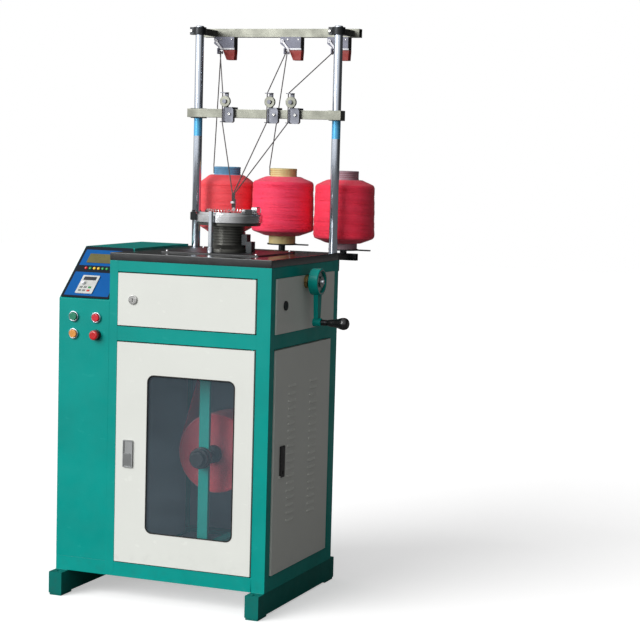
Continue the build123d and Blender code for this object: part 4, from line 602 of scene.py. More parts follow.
@dataclass(frozen=True)
class BandedChrome:
    """Polished chrome with one painted band between two heights."""

    name: str
    colour: Colour
    band: Colour
    band_low: float
    band_high: float

    def material(self) -> Material:
        """Returns the banded chrome as a node material."""
        chrome = Weave(self.name)
        height = chrome.parts(chrome.here)["Z"]
        above = chrome.math("GREATER_THAN", height, self.band_low)
        inside = chrome.math("MULTIPLY", above, chrome.math("LESS_THAN", height, self.band_high))
        dull = chrome.ramp(chrome.noise(chrome.stretched((40.0, 40.0, 6.0)), 1.0, 4.0), 0.35, 0.75, 0.0, 0.3)
        metal = chrome.mixed(dull, self.colour, scaled(self.colour, 0.75))
        chrome.set(Base_Color=chrome.mixed(inside, metal, self.band))
        chrome.set(Metallic=chrome.math("SUBTRACT", 1.0, chrome.math("MULTIPLY", inside, 0.55)))
        chrome.set(Roughness=chrome.ramp(inside, 0.0, 1.0, 0.12, 0.3))
        chrome.raised(chrome.noise(chrome.stretched((900.0, 900.0, 20.0)), 1.0, 2.0), 0.03, 0.0002)
        return chrome.material


TEAL = Enamel("teal_enamel", srgb(0, 149, 140), roughness=0.34, cloud=0.05)
# A darker copy of the teal for the skids: painted shade where the light falls off towards the floor.
TEAL_PAINTED_SHADE = Enamel("skid_enamel", srgb(0, 112, 104), roughness=0.4, cloud=0.05)
CREAM = Enamel("white_enamel", srgb(220, 222, 216), roughness=0.36, cloud=0.012, dirt=0.35)
GREY_INSIDE = Enamel("inner_grey_enamel", srgb(168, 176, 188), roughness=0.4, cloud=0.03)
BLACK_TOP = Enamel("black_gloss_slab", srgb(30, 32, 33), roughness=0.16, coat=0.5, cloud=0.02, dirt=0.0, shine=0.5)
MOTOR_GREY = Enamel("motor_grey", srgb(82, 90, 98), roughness=0.45, coat=0.0, cloud=0.05)
OILED_IRON = Metal("oiled_iron", srgb(92, 92, 88), 0.34, Grain.ROUND_Z, depth=0.2, metallic=0.85)
DARK_STEEL = Metal("blackened_steel", srgb(58, 60, 62), 0.36, Grain.CAST, depth=0.12, metallic=0.9)
TURNED_STEEL = Metal("turned_steel", srgb(222, 223, 225), 0.2, Grain.ROUND_Z, depth=0.16)
TURNED_Y = Metal("turned_steel_y", srgb(188, 188, 186), 0.22, Grain.ROUND_Y, depth=0.16)
TURNED_X = Metal("turned_steel_x", srgb(184, 186, 186), 0.24, Grain.ROUND_X, depth=0.16)
NEEDLE_STEEL = Metal("needle_steel", srgb(205, 207, 205), 0.2, Grain.ALONG_Z, depth=0.06, stain=0.12)
ZINC = Metal("zinc_casting", srgb(112, 114, 122), 0.42, Grain.CAST, depth=0.3, metallic=0.9)
ALUMINIUM = Metal("drawn_aluminium", srgb(122, 123, 114), 0.36, Grain.ALONG_X, depth=0.12, stain=0.2)
CHROME_CAP = Metal("polished_chrome", srgb(214, 220, 228), 0.1, Grain.CAST, depth=0.03, stain=0.1)
BRONZE = Metal("bearing_bronze", srgb(168, 140, 92), 0.3, Grain.ROUND_Z)
HANDLE_STEEL = Metal("brushed_handle", srgb(158, 160, 160), 0.38, Grain.ALONG_Z, depth=0.1)
PADDLE_GREY = Metal("paddle_grey", srgb(122, 124, 124), 0.42, Grain.CAST, depth=0.1)
POST_CHROME = BandedChrome("post_chrome", srgb(206, 214, 226), srgb(96, 186, 236), 1.292, 1.346)
BLACK_MOULDING = Plastic("black_moulding", srgb(24, 24, 26))
GRIP_BLACK = Plastic("black_grip", srgb(22, 22, 24), 0.25, coat=0.4, grain=0.03)
PALE_KEY = Plastic("pale_keypad", srgb(205, 206, 202), 0.42)
WHITE_GLOSS = Plastic("white_gloss", srgb(236, 236, 240), 0.28, coat=0.2, grain=0.03)
PANEL_BLACK = Plastic("panel_black", srgb(14, 20, 34), 0.3, coat=0.3, grain=0.02)
DETECTOR_GREY = Plastic("detector_grey", srgb(128, 130, 146), 0.45)
RED_LENS = Plastic("red_lens", srgb(146, 22, 8), 0.5, grain=0.02)
RUBBER = Plastic("belt_rubber", srgb(26, 26, 26), 0.8, grain=0.2)
LCD = Plastic("olive_display", srgb(98, 92, 42), 0.3, coat=0.1, grain=0.01)
SMOKED = Pane("smoked_pane", srgb(140, 162, 176), 0.09)
WEB_KNIT = Knit("web_knit", srgb(240, 60, 80), srgb(186, 22, 40), 96.0, 0.0022)
ROLL_KNIT = Knit("roll_knit", srgb(255, 100, 116), srgb(236, 54, 74), 300.0, 0.0024, turned=True)
RED_STRAND = TwistedStrand("red_strand", srgb(196, 20, 30))
DARK_YARN = TwistedStrand("dark_strand", srgb(52, 46, 46))

BODY_OF = {node: body for body, nodes in frame["record"]["behaviour"]["bodies"].items() for node in nodes}
SLOT_OF = {row["node"]: row["material_slot"] for row in frame["record"]["subparts"]}
COATS: dict[object, Material] = {}


def coat_of(finish: object) -> Material:
    """Returns a finish's material, made once."""
    if finish not in COATS:
        COATS[finish] = finish.material()
    return COATS[finish]


def rounded(points: Sequence[tuple[float, float]], radius: float, steps: int = 5) -> Outline:
    """Rounds the inner corners of an open outline.

    Args:
        points: the outline's corners, in millimetres.
        radius: how far from a corner the rounding may start.
        steps: how many points a corner becomes, less one.

    Returns:
        The rounded outline in metres.
    """
    result = [Vector(points[0])]
    for before, corner, after in zip(points, points[1:], points[2:]):
        here = Vector(corner)
        back, ahead = Vector(before) - here, Vector(after) - here
        reach = min(radius, back.length * 0.45, ahead.length * 0.45)
        start, end = here + back.normalized() * reach, here + ahead.normalized() * reach
        for step in range(steps + 1):
            share = step / steps
            result.append((1 - share) ** 2 * start + 2 * share * (1 - share) * here + share**2 * end)
    result.append(Vector(points[-1]))
    return [(point.x * MM, point.y * MM) for point in result]


class Grower:
    """A Geometry Nodes tree under construction, with named inputs for its sizes."""

    def __init__(self, name: str) -> None:
        """Starts a tree that takes and gives geometry."""
        self.group = bpy.data.node_groups.new(name, "GeometryNodeTree")
        for way in ("INPUT", "OUTPUT"):
            self.group.interface.new_socket("Geometry", in_out=way, socket_type="NodeSocketGeometry")
        self.start = self.group.nodes.new("NodeGroupInput")
        self.end = self.group.nodes.new("NodeGroupOutput")
        self.sizes: dict[str, object] = {}

    def size(self, name: str, value: object, kind: str = "NodeSocketFloat") -> Socket:
        """Adds a named input and keeps its value under the socket's identifier."""
        socket = self.group.interface.new_socket(name, in_out="INPUT", socket_type=kind)
        self.sizes[socket.identifier] = value
        return self.start.outputs[name]

    def add(self, kind: str, inputs: Optional[dict] = None, **settings: object) -> Node:
        """Adds a node, with its inputs linked or set by name."""
        return add_node(self.group, kind, inputs, **settings)

    def math(self, operation: str, first: object, second: object = 0.0) -> Socket:
        """Adds a math node and returns its value."""
        return self.add("ShaderNodeMath", {0: first, 1: second}, operation=operation).outputs[0]

    def grow(self, piece: Piece, geometry: Socket, finish: object) -> Piece:
        """Ends the tree, runs it on a piece and leaves a plain mesh.

        Args:
            piece: the mesh that the tree starts from.
            geometry: what the tree has made.
            finish: the finish that it gets.

        Returns:
            The piece as a plain mesh with no modifier.
        """
        real = self.add("GeometryNodeRealizeInstances", {"Geometry": geometry})
        dressed = self.add("GeometryNodeSetMaterial", {"Geometry": real.outputs[0]})
        dressed.inputs["Material"].default_value = coat_of(finish)
        self.group.links.new(dressed.outputs[0], self.end.inputs[0])
        modifier = piece.modifiers.new("grown", "NODES")
        modifier.node_group = self.group
        for identifier, value in self.sizes.items():
            modifier[identifier] = value
        return Shape.smooth(Shape.settle(piece), 40)


class Repeats:
    """What repeats or follows a path on the machine."""

    @staticmethod
    def swept(
        name: str, path: Sequence[Vector], radius: float, finish: object, closed: bool = False, sides: int = 8
    ) -> Piece:
        """Runs a round section along a path.

        Args:
            name: the piece's name.
            path: the points it follows.
            radius: the section's radius in metres.
            finish: the finish that it gets.
            closed: whether the last point joins the first.
            sides: the section's number of sides.

        Returns:
            The swept piece.
        """
        count = len(path)
        edges = [(n, (n + 1) % count) for n in range(count if closed else count - 1)]
        piece = Shape.from_data(name, path, edges=edges)
        tree = Grower(f"{name}_sweep")
        width = tree.size("Section radius", radius)
        count_of_sides = tree.size("Section sides", sides, "NodeSocketInt")
        line = tree.add("GeometryNodeMeshToCurve", {"Mesh": tree.start.outputs["Geometry"]})
        section = tree.add("GeometryNodeCurvePrimitiveCircle", {"Radius": width, "Resolution": count_of_sides})
        inputs = {"Curve": line.outputs[0], "Profile Curve": section.outputs[0], "Fill Caps": not closed}
        sweep = tree.add("GeometryNodeCurveToMesh", inputs)
        return tree.grow(piece, sweep.outputs[0], finish)

    @staticmethod
    def scattered(
        name: str, places: Sequence[tuple[Vector, Vector]], part: Piece, scale: float, finish: object
    ) -> Piece:
        """Sets copies of a part on places, its Z along each place's facing.

        Args:
            name: the piece's name.
            places: (point, facing) pairs in the frame.
            part: the part to copy, about the origin; it is removed.
            scale: the copies' scale.
            finish: the finish that they get.

        Returns:
            All the copies as one mesh.
        """
        piece = Shape.from_data(name, [point for point, _ in places])
        facing = piece.data.attributes.new("facing", "FLOAT_VECTOR", "POINT")
        for mark, (_, way) in zip(facing.data, places):
            mark.vector = way
        tree = Grower(f"{name}_scatter")
        size = tree.size("Part scale", scale)
        kind = tree.size("Part", part, "NodeSocketObject")
        read = tree.add("GeometryNodeInputNamedAttribute", {"Name": "facing"}, data_type="FLOAT_VECTOR")
        turn = tree.add("FunctionNodeAlignRotationToVector", {"Vector": read.outputs[0]}, axis="Z")
        source = tree.add("GeometryNodeObjectInfo", {"Object": kind})
        inputs = {
            "Points": tree.start.outputs["Geometry"], "Instance": source.outputs["Geometry"],
            "Rotation": turn.outputs[0], "Scale": size,
        }
        copies = tree.add("GeometryNodeInstanceOnPoints", inputs)
        result = tree.grow(piece, copies.outputs[0], finish)
        bpy.data.objects.remove(part)
        return result

    @staticmethod
    def ringed(
        name: str, part: Piece, centre: Vector, count: int, radius: float, lift: float, waves: float,
        finish: object,
    ) -> Piece:
        """Sets copies of a part round a vertical axis, their X outwards, with a cam's rise and fall.

        Args:
            name: the piece's name.
            part: the part to copy, its X outwards; it is removed.
            centre: the middle of the ring.
            count: how many copies.
            radius: where the part's own origin goes.
            lift: how far the cam raises the highest copy.
            waves: how many rises the cam has in one turn.
            finish: the finish that they get.

        Returns:
            All the copies as one mesh, in place.
        """
        piece = Shape.from_data(name, [Vector()])
        tree = Grower(f"{name}_ring")
        number = tree.size("Count", count, "NodeSocketInt")
        reach = tree.size("Radius", radius)
        rise = tree.size("Cam lift", lift)
        beats = tree.size("Cam rises", waves)
        kind = tree.size("Part", part, "NodeSocketObject")
        middle = tree.size("Middle", centre, "NodeSocketVector")
        circle = tree.add("GeometryNodeMeshCircle", {"Vertices": number, "Radius": reach})
        share = tree.math("DIVIDE", tree.add("GeometryNodeInputIndex").outputs[0], number)
        angle = tree.math("MULTIPLY", tree.math("MULTIPLY", share, beats), math.tau)
        height = tree.math("MULTIPLY", tree.math("MAXIMUM", tree.math("SINE", angle), 0.0), rise)
        offset = tree.add("ShaderNodeCombineXYZ", {"Z": height})
        whole = tree.add("ShaderNodeVectorMath", {0: offset.outputs[0], 1: middle}, operation="ADD")
        outward = tree.add("GeometryNodeInputPosition")
        spin = tree.add("FunctionNodeAlignRotationToVector", {"Vector": outward.outputs[0]}, axis="X", pivot_axis="Z")
        source = tree.add("GeometryNodeObjectInfo", {"Object": kind})
        inputs = {"Points": circle.outputs[0], "Instance": source.outputs["Geometry"], "Rotation": spin.outputs[0]}
        copies = tree.add("GeometryNodeInstanceOnPoints", inputs)
        placed = tree.add("GeometryNodeTranslateInstances", {
            "Instances": copies.outputs[0], "Translation": whole.outputs[0], "Local Space": False,
        })
        result = tree.grow(piece, placed.outputs[0], finish)
        bpy.data.objects.remove(part)
        return result

    @staticmethod
    def weld(name: str, start: Vector, end: Vector, radius: float, finish: object) -> Piece:
        """Lays a bead of overlapping drops between two points."""
        piece = Shape.from_data(name, [start, end], edges=[(0, 1)])
        tree = Grower(f"{name}_bead")
        width = tree.size("Bead radius", radius)
        pitch = tree.size("Drop pitch", radius * 0.9)
        line = tree.add("GeometryNodeMeshToCurve", {"Mesh": tree.start.outputs["Geometry"]})
        drops = tree.add("GeometryNodeCurveToPoints", {"Curve": line.outputs[0], "Length": pitch}, mode="LENGTH")
        drop = tree.add("GeometryNodeMeshIcoSphere", {"Radius": width, "Subdivisions": 2})
        beads = tree.add("GeometryNodeInstanceOnPoints", {"Points": drops.outputs[0], "Instance": drop.outputs[0]})
        return tree.grow(piece, beads.outputs[0], finish)


def socket_screw() -> Piece:
    """Returns a screw head of radius 1, with a hexagonal socket, about the origin."""
    points: list[Point] = []
    rows = ((1.0, 0.0), (1.0, 0.75), (0.86, 0.92), (0.52, 0.92), (0.48, 0.35), (0.0, 0.3))
    sides = 12
    for step in range(sides):
        angle = math.tau * step / sides
        hexagon = math.cos(math.pi / 6) / math.cos((angle % (math.pi / 3)) - math.pi / 6)
        for radius, height in rows:
            reach = radius * (hexagon if 0 < radius < 0.6 else 1.0)
            points.append((reach * math.cos(angle), reach * math.sin(angle), height))
    count = len(rows)
    faces = [
        (step * count + row, ((step + 1) % sides) * count + row, ((step + 1) % sides) * count + row + 1,
         step * count + row + 1)
        for step in range(sides) for row in range(count - 1)
    ]
    screw = Shape.from_data("screw_pattern", points, faces)
    return Shape.tidy(screw)


def latch_needle() -> Piece:
    """Returns one latch needle, its X outwards and its foot at the origin, in metres."""
    outline = (
        (0.0, 0.0), (2.4, 0.0), (2.4, 21.0), (1.5, 24.0), (1.2, 27.0), (1.2, 31.0), (1.5, 32.4), (1.8, 31.4),
        (1.8, 30.0), (2.35, 30.0), (2.35, 31.8), (1.9, 33.4), (1.3, 33.9), (0.7, 33.5), (0.4, 31.0), (0.0, 24.0),
    )
    half = 0.6
    points = [(x * MM, side * half * MM, z * MM) for side in (-1, 1) for x, z in outline]
    count = len(outline)
    faces: list[tuple[int, ...]] = [tuple(range(count)), tuple(range(2 * count - 1, count - 1, -1))]
    faces += [(n, n + count, (n + 1) % count + count, (n + 1) % count) for n in range(count)]
    return Shape.tidy(Shape.from_data("needle_pattern", points, faces))


def pieces_of(piece: Piece) -> list[Piece]:
    """Splits a piece into its separate solids, in order of their middles from left to right."""
    work = bmesh.new()
    work.from_mesh(piece.data)
    mark = [0] * len(work.verts)
    groups = 0
    for vertex in work.verts:
        if mark[vertex.index]:
            continue
        groups += 1
        mark[vertex.index] = groups
        waiting = [vertex]
        while waiting:
            for edge in waiting.pop().link_edges:
                for other in edge.verts:
                    if not mark[other.index]:
                        mark[other.index] = groups
                        waiting.append(other)
    work.free()
    found = []
    for group in range(1, groups + 1):
        part = bmesh.new()
        part.from_mesh(piece.data)
        bmesh.ops.delete(part, geom=[v for v in part.verts if mark[v.index] != group], context="VERTS")
        mesh = bpy.data.meshes.new(f"{piece.name}_{group}")
        part.to_mesh(mesh)
        part.free()
        found.append(Shape.leaned(linked(mesh.name, mesh)))
    bpy.data.objects.remove(piece)
    return sorted(found, key=lambda solid: middle_of(solid).x)


def middle_of(piece: Piece) -> Vector:
    """Returns the middle of a piece's box."""
    xs, ys, zs = zip(*[vertex.co for vertex in piece.data.vertices])
    return Vector(((min(xs) + max(xs)) / 2, (min(ys) + max(ys)) / 2, (min(zs) + max(zs)) / 2))


class Assembly:
    """What every sub-assembly does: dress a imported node, or add a piece of its own."""

    def put(
        self, piece: Piece, finish: Optional[object], body: str, slot: str, replaces: Sequence[str] = ()
    ) -> Piece:
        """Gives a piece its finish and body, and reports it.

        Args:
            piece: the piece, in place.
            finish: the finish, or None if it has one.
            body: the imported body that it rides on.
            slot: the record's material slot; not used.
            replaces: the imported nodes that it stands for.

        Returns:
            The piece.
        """
        if finish is not None:
            piece.data.materials.clear()
            piece.data.materials.append(coat_of(finish))
        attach(piece, body)
        if replaces:
            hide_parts(*replaces)
        LOG.info("%s: %s on %s, %d faces", type(self).__name__, piece.name, body, len(piece.data.polygons))
        return piece

    def dress(self, node: str, finish: object, bevel: float = 0.0006, angle: float = 32.0) -> Piece:
        """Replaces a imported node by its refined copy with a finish."""
        piece = Shape.refined(node, f"{node}_dressed", bevel, angle)
        return self.put(piece, finish, BODY_OF[node], SLOT_OF[node], [node])

    def dress_all(self, *rows: tuple) -> None:
        """Dresses nodes in order from rows of (node, finish, bevel, smoothing angle if not the usual one)."""
        for row in rows:
            self.dress(*row)

    def fasten(self, name: str, places: Sequence[tuple[Vector, Vector]], radius: float, finish: object,
               body: str = "cabinet") -> None:
        """Sets socket screws on places, (point, facing) pairs in the frame."""
        screws = Repeats.scattered(name, places, socket_screw(), radius, finish)
        self.put(screws, None, body, "bright_steel")

    def recoat(
        self, piece: Piece, finish: object, test: Callable[[bpy.types.MeshPolygon], bool]
    ) -> Piece:
        """Gives a second finish to the faces that pass a test."""
        piece.data.materials.append(coat_of(finish))
        last = len(piece.data.materials) - 1
        for face in piece.data.polygons:
            if test(face):
                face.material_index = last
        return piece


@dataclass
class Studio:
    """White surroundings, one broad sun from the front left, a pale floor and the camera."""

    fill_light: float = 0.62
    fill_dark: float = 0.07
    sun: float = 2.9
    sun_width: float = 0.8
    towards_card: Point = (-0.5, -0.82, 0.3)
    fill_range: tuple[float, float] = (-0.35, 0.9)
    card_range: tuple[float, float] = (-0.45, 0.75)
    card_dark: float = 0.05
    floor_grey: float = 0.86
    floor_bounce: float = 0.22
    floor_glow: float = 0.46
    floor_level: float = -0.0004
    towards_sun: Point = (-0.45, -0.8, 0.42)
    camera_at: Point = (2.20498, -4.64956, 1.25568)
    yaw: float = 21.606
    pitch: float = 5.311
    roll: float = 1.508
    lens: float = 102.05
    floor_size: float = 30.0

    def build(self) -> None:
        """Makes the world, the sun, the floor and the camera."""
        self.world()
        self.lamp()
        self.floor()
        self.camera()
        view = bpy.context.scene.view_settings
        view.view_transform = "Standard"

    def world(self) -> None:
        """White behind the object; polished metal sees a bright front and a dark rear card."""
        world = bpy.data.worlds.new("studio")
        world.use_nodes = True
        bpy.context.scene.world = world
        tree = world.node_tree
        tree.nodes.clear()
        path = add_node(tree, "ShaderNodeLightPath").outputs
        way = {0: add_node(tree, "ShaderNodeTexCoord").outputs["Generated"], 1: Vector(self.towards_card).normalized()}
        towards = add_node(tree, "ShaderNodeVectorMath", way, operation="DOT_PRODUCT").outputs["Value"]

        def growing(reach: tuple[float, float], dark: float, light: float) -> Socket:
            """Returns white light that grows from the rear to the front."""
            inputs = dict(enumerate((towards, *reach, dark, light)))
            strength = add_node(tree, "ShaderNodeMapRange", inputs, interpolation_type="SMOOTHSTEP").outputs[0]
            return add_node(tree, "ShaderNodeBackground", {"Color": WHITE, "Strength": strength}).outputs[0]

        fill = growing(self.fill_range, self.fill_dark, self.fill_light)
        mirrored = growing(self.card_range, self.card_dark, 1.0)
        inputs = {0: path["Is Glossy Ray"], 1: fill, 2: mirrored}
        unseen = add_node(tree, "ShaderNodeMixShader", inputs).outputs[0]
        rays = {0: path["Is Camera Ray"], 1: path["Is Transmission Ray"]}
        seen = add_node(tree, "ShaderNodeMath", rays, operation="MAXIMUM").outputs[0]
        white = add_node(tree, "ShaderNodeBackground", {"Color": WHITE}).outputs[0]
        last = add_node(tree, "ShaderNodeMixShader", {0: seen, 1: unseen, 2: white}).outputs[0]
        add_node(tree, "ShaderNodeOutputWorld", {"Surface": last})

    def lamp(self) -> None:
        """A broad sun from the front left."""
        data = bpy.data.lights.new("broad_sun", "SUN")
        data.energy = self.sun
        data.angle = self.sun_width
        lamp = linked("broad_sun", data)
        lamp.rotation_euler = Vector(self.towards_sun).to_track_quat("Z", "Y").to_euler()

    def floor(self) -> None:
        """A pale floor that reads white where no shadow falls."""
        half = self.floor_size / 2
        corners = [(x * half, y * half, self.floor_level) for x, y in ((-1, -1), (1, -1), (1, 1), (-1, 1))]
        floor = Shape.from_data("studio_floor", corners, [(0, 1, 2, 3)])
        material = bpy.data.materials.new("pale_floor")
        material.use_nodes = True
        tree = material.node_tree
        tree.nodes.clear()
        seen = add_node(tree, "ShaderNodeLightPath").outputs["Is Camera Ray"]
        pale, bounced = (
            add_node(tree, "ShaderNodeBsdfDiffuse", {"Color": (grey, grey, grey, 1.0)}).outputs[0]
            for grey in (self.floor_grey, self.floor_bounce)
        )
        glow = add_node(tree, "ShaderNodeEmission", {"Strength": self.floor_glow}).outputs[0]
        both = add_node(tree, "ShaderNodeAddShader", {0: pale, 1: glow}).outputs[0]
        pick = add_node(tree, "ShaderNodeMixShader", {0: seen, 1: bounced, 2: both}).outputs[0]
        add_node(tree, "ShaderNodeOutputMaterial", {"Surface": pick})
        floor.data.materials.append(material)

    def camera(self) -> None:
        """The camera at the picture's viewing angle."""
        data = bpy.data.cameras.new("camera")
        data.sensor_width = 36.0
        data.lens = self.lens
        data.clip_start, data.clip_end = 0.1, 100.0
        yaw, pitch, roll = (math.radians(v) for v in (self.yaw, self.pitch, self.roll))
        forward = Vector((-math.sin(yaw) * math.cos(pitch), math.cos(yaw) * math.cos(pitch), -math.sin(pitch)))
        level = Vector((math.cos(yaw), math.sin(yaw), 0.0))
        up = level.cross(forward)
        right = math.cos(roll) * level + math.sin(roll) * up
        above = -math.sin(roll) * level + math.cos(roll) * up
        camera = linked("camera", data)
        turn = Matrix((right, above, -forward)).transposed()
        camera.matrix_world = Matrix.Translation(MIDDLE + Vector(self.camera_at)) @ turn.to_4x4()
        bpy.context.scene.camera = camera


@dataclass
class Cabinet(Assembly):
    """The welded cabinet on its skids, its table, doors and door furniture."""

    front: float = -245.0
    skin: float = -249.0
    window_x: tuple[float, float] = (-39.0, 221.0)
    window_z: tuple[float, float] = (198.0, 634.0)
    window_corner: float = 18.0
    seal_radius: float = 1.7
    handle_x: float = -95.5
    handle_z: float = 413.5
    skid_top: float = 66.0
    side_skin: float = 324.0
    louvre_columns: tuple[float, float] = (-94.0, 60.0)
    louvre_top: float = 620.0
    louvre_pitch: float = 20.6
    louvre_count: int = 19
    louvre_half: float = 22.5
    louvre_drop: float = 4.6
    weld_width: float = 0.04

    def build(self) -> None:
        """Dresses the cabinet and adds the window's seal, the welds, the key and the louvres' ends."""
        # The skids take the darker copy of the teal, which is painted shade.
        self.dress_all(
            ("skids", TEAL_PAINTED_SHADE, 0.0015), ("cabinet_frame", TEAL, 0.0009), ("inner_panels", GREY_INSIDE, 0.0003),
            ("table_top", BLACK_TOP, 0.0012), ("front_door", CREAM, 0.0005, 28.0),
            ("upper_cover", CREAM, 0.0005, 28.0), ("side_cover", CREAM, 0.0005, 28.0),
            ("side_door", CREAM, 0.0003, 12.0), ("door_window", SMOKED, 0.0),
            ("handle_plate", HANDLE_STEEL, 0.0005), ("handle_paddle", PADDLE_GREY, 0.0003),
            ("upper_cover_lock", TURNED_Y, 0.0004), ("side_cover_lock", DARK_STEEL, 0.0004),
            ("side_latch", BLACK_MOULDING, 0.0004),
        )
        self.seal()
        self.welds()
        self.key()
        self.louvre_ends()

    def louvre_ends(self) -> None:
        """The rounded ends pressed at the front and the rear of each louvre."""
        out = Vector((1, 0, 0))
        places = []
        for column in self.louvre_columns:
            for row in range(self.louvre_count):
                height = self.louvre_top - row * self.louvre_pitch - self.louvre_drop
                for end in (-self.louvre_half, self.louvre_half):
                    places.append((spot(self.side_skin - 0.2, column + end, height), out))
        profile = [(0.0, 0.85), (0.5, 0.74), (0.85, 0.45), (1.0, 0.0), (0.0, 0.0)]
        dome = Shape.lathe("louvre_end_pattern", profile, Vector((0, 0, 0)), "Z", segments=16, angle=60)
        ends = Repeats.scattered("louvre_ends", places, dome, 0.0036, CREAM)
        self.put(ends, None, "side_door", SLOT_OF["side_door"])

    def seal(self) -> None:
        """The black rubber bead round the window."""
        (x0, x1), (z0, z1), corner = self.window_x, self.window_z, self.window_corner
        path = []
        corners = ((x1 - corner, z0 + corner, -90), (x1 - corner, z1 - corner, 0),
                   (x0 + corner, z1 - corner, 90), (x0 + corner, z0 + corner, 180))
        for cx, cz, start in corners:
            for step in range(9):
                angle = math.radians(start + step * 11.25)
                path.append(spot(cx + corner * math.cos(angle), self.skin - 0.3, cz + corner * math.sin(angle)))
        bead = Repeats.swept("window_seal", path, self.seal_radius * MM, RUBBER, closed=True)
        self.put(bead, None, "front_door", "black_plastic")

    def welds(self) -> None:
        """Short beads where the skids meet the frame."""
        low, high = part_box("skids")
        front = spot(0, self.front, 0).y
        rear = spot(0, -self.front, 0).y
        top, gap = self.skid_top * MM, 0.004
        corners = [(x, y) for y in (front, rear) for x in (low.x, high.x - self.weld_width)]
        beads = []
        for number, (x, y) in enumerate(corners):
            start, end = Vector((x + gap, y, top)), Vector((x + self.weld_width - gap, y, top))
            beads.append(Repeats.weld(f"weld_{number}", start, end, 0.0022, TEAL))
        self.put(Shape.joined("skid_welds", beads), TEAL, "cabinet", "teal_paint")

    def key(self) -> None:
        """The small triangular cam below the paddle."""
        centre = spot(self.handle_x, self.skin - 2.0, self.handle_z - 29)
        profile = [(0.0, -0.0022), (0.0042, -0.0022), (0.005, -0.0014), (0.005, 0.0)]
        cam = Shape.lathe("handle_key", profile, centre, "Y", segments=3, angle=20)
        self.put(cam, CHROME_CAP, "front_door", "bright_steel")


@dataclass(frozen=True)
class Overlay:
    """The panel's printed film: two blue fields on black, bare of any lettering."""

    name: str
    blue: Colour
    black: Colour
    origin: Point
    upward: Point
    fields: tuple[tuple[float, float, float, float], ...]

    def material(self) -> Material:
        """Returns the film as a node material."""
        film = Weave(self.name)
        away = film.add("ShaderNodeVectorMath", {0: film.here, 1: self.origin}, operation="SUBTRACT").outputs[0]
        rise = film.add("ShaderNodeVectorMath", {0: away, 1: self.upward}, operation="DOT_PRODUCT").outputs["Value"]
        along = film.parts(away)[0]

        def between(value: Socket, low: float, high: float) -> Socket:
            """Tells where a value lies between two limits."""
            return film.math("MULTIPLY", film.math("GREATER_THAN", value, low), film.math("LESS_THAN", value, high))

        total = None
        for x0, x1, s0, s1 in self.fields:
            inside = film.math("MULTIPLY", between(along, x0, x1), between(rise, s0, s1))
            total = inside if total is None else film.math("MAXIMUM", total, inside)
        blue = film.mixed(film.patches(30.0, 3.0, 0.35, 0.7, 0.0, 0.25), self.blue, scaled(self.blue, 0.7))
        film.set(Base_Color=film.mixed(total, self.black, blue), Specular_IOR_Level=0.15)
        film.set(Roughness=film.patches(80.0, 3.0, 0.3, 0.7, 0.36, 0.46))
        film.raised(film.noise(film.here, 1200.0, 1.0), 0.03, 0.0002)
        return film.material


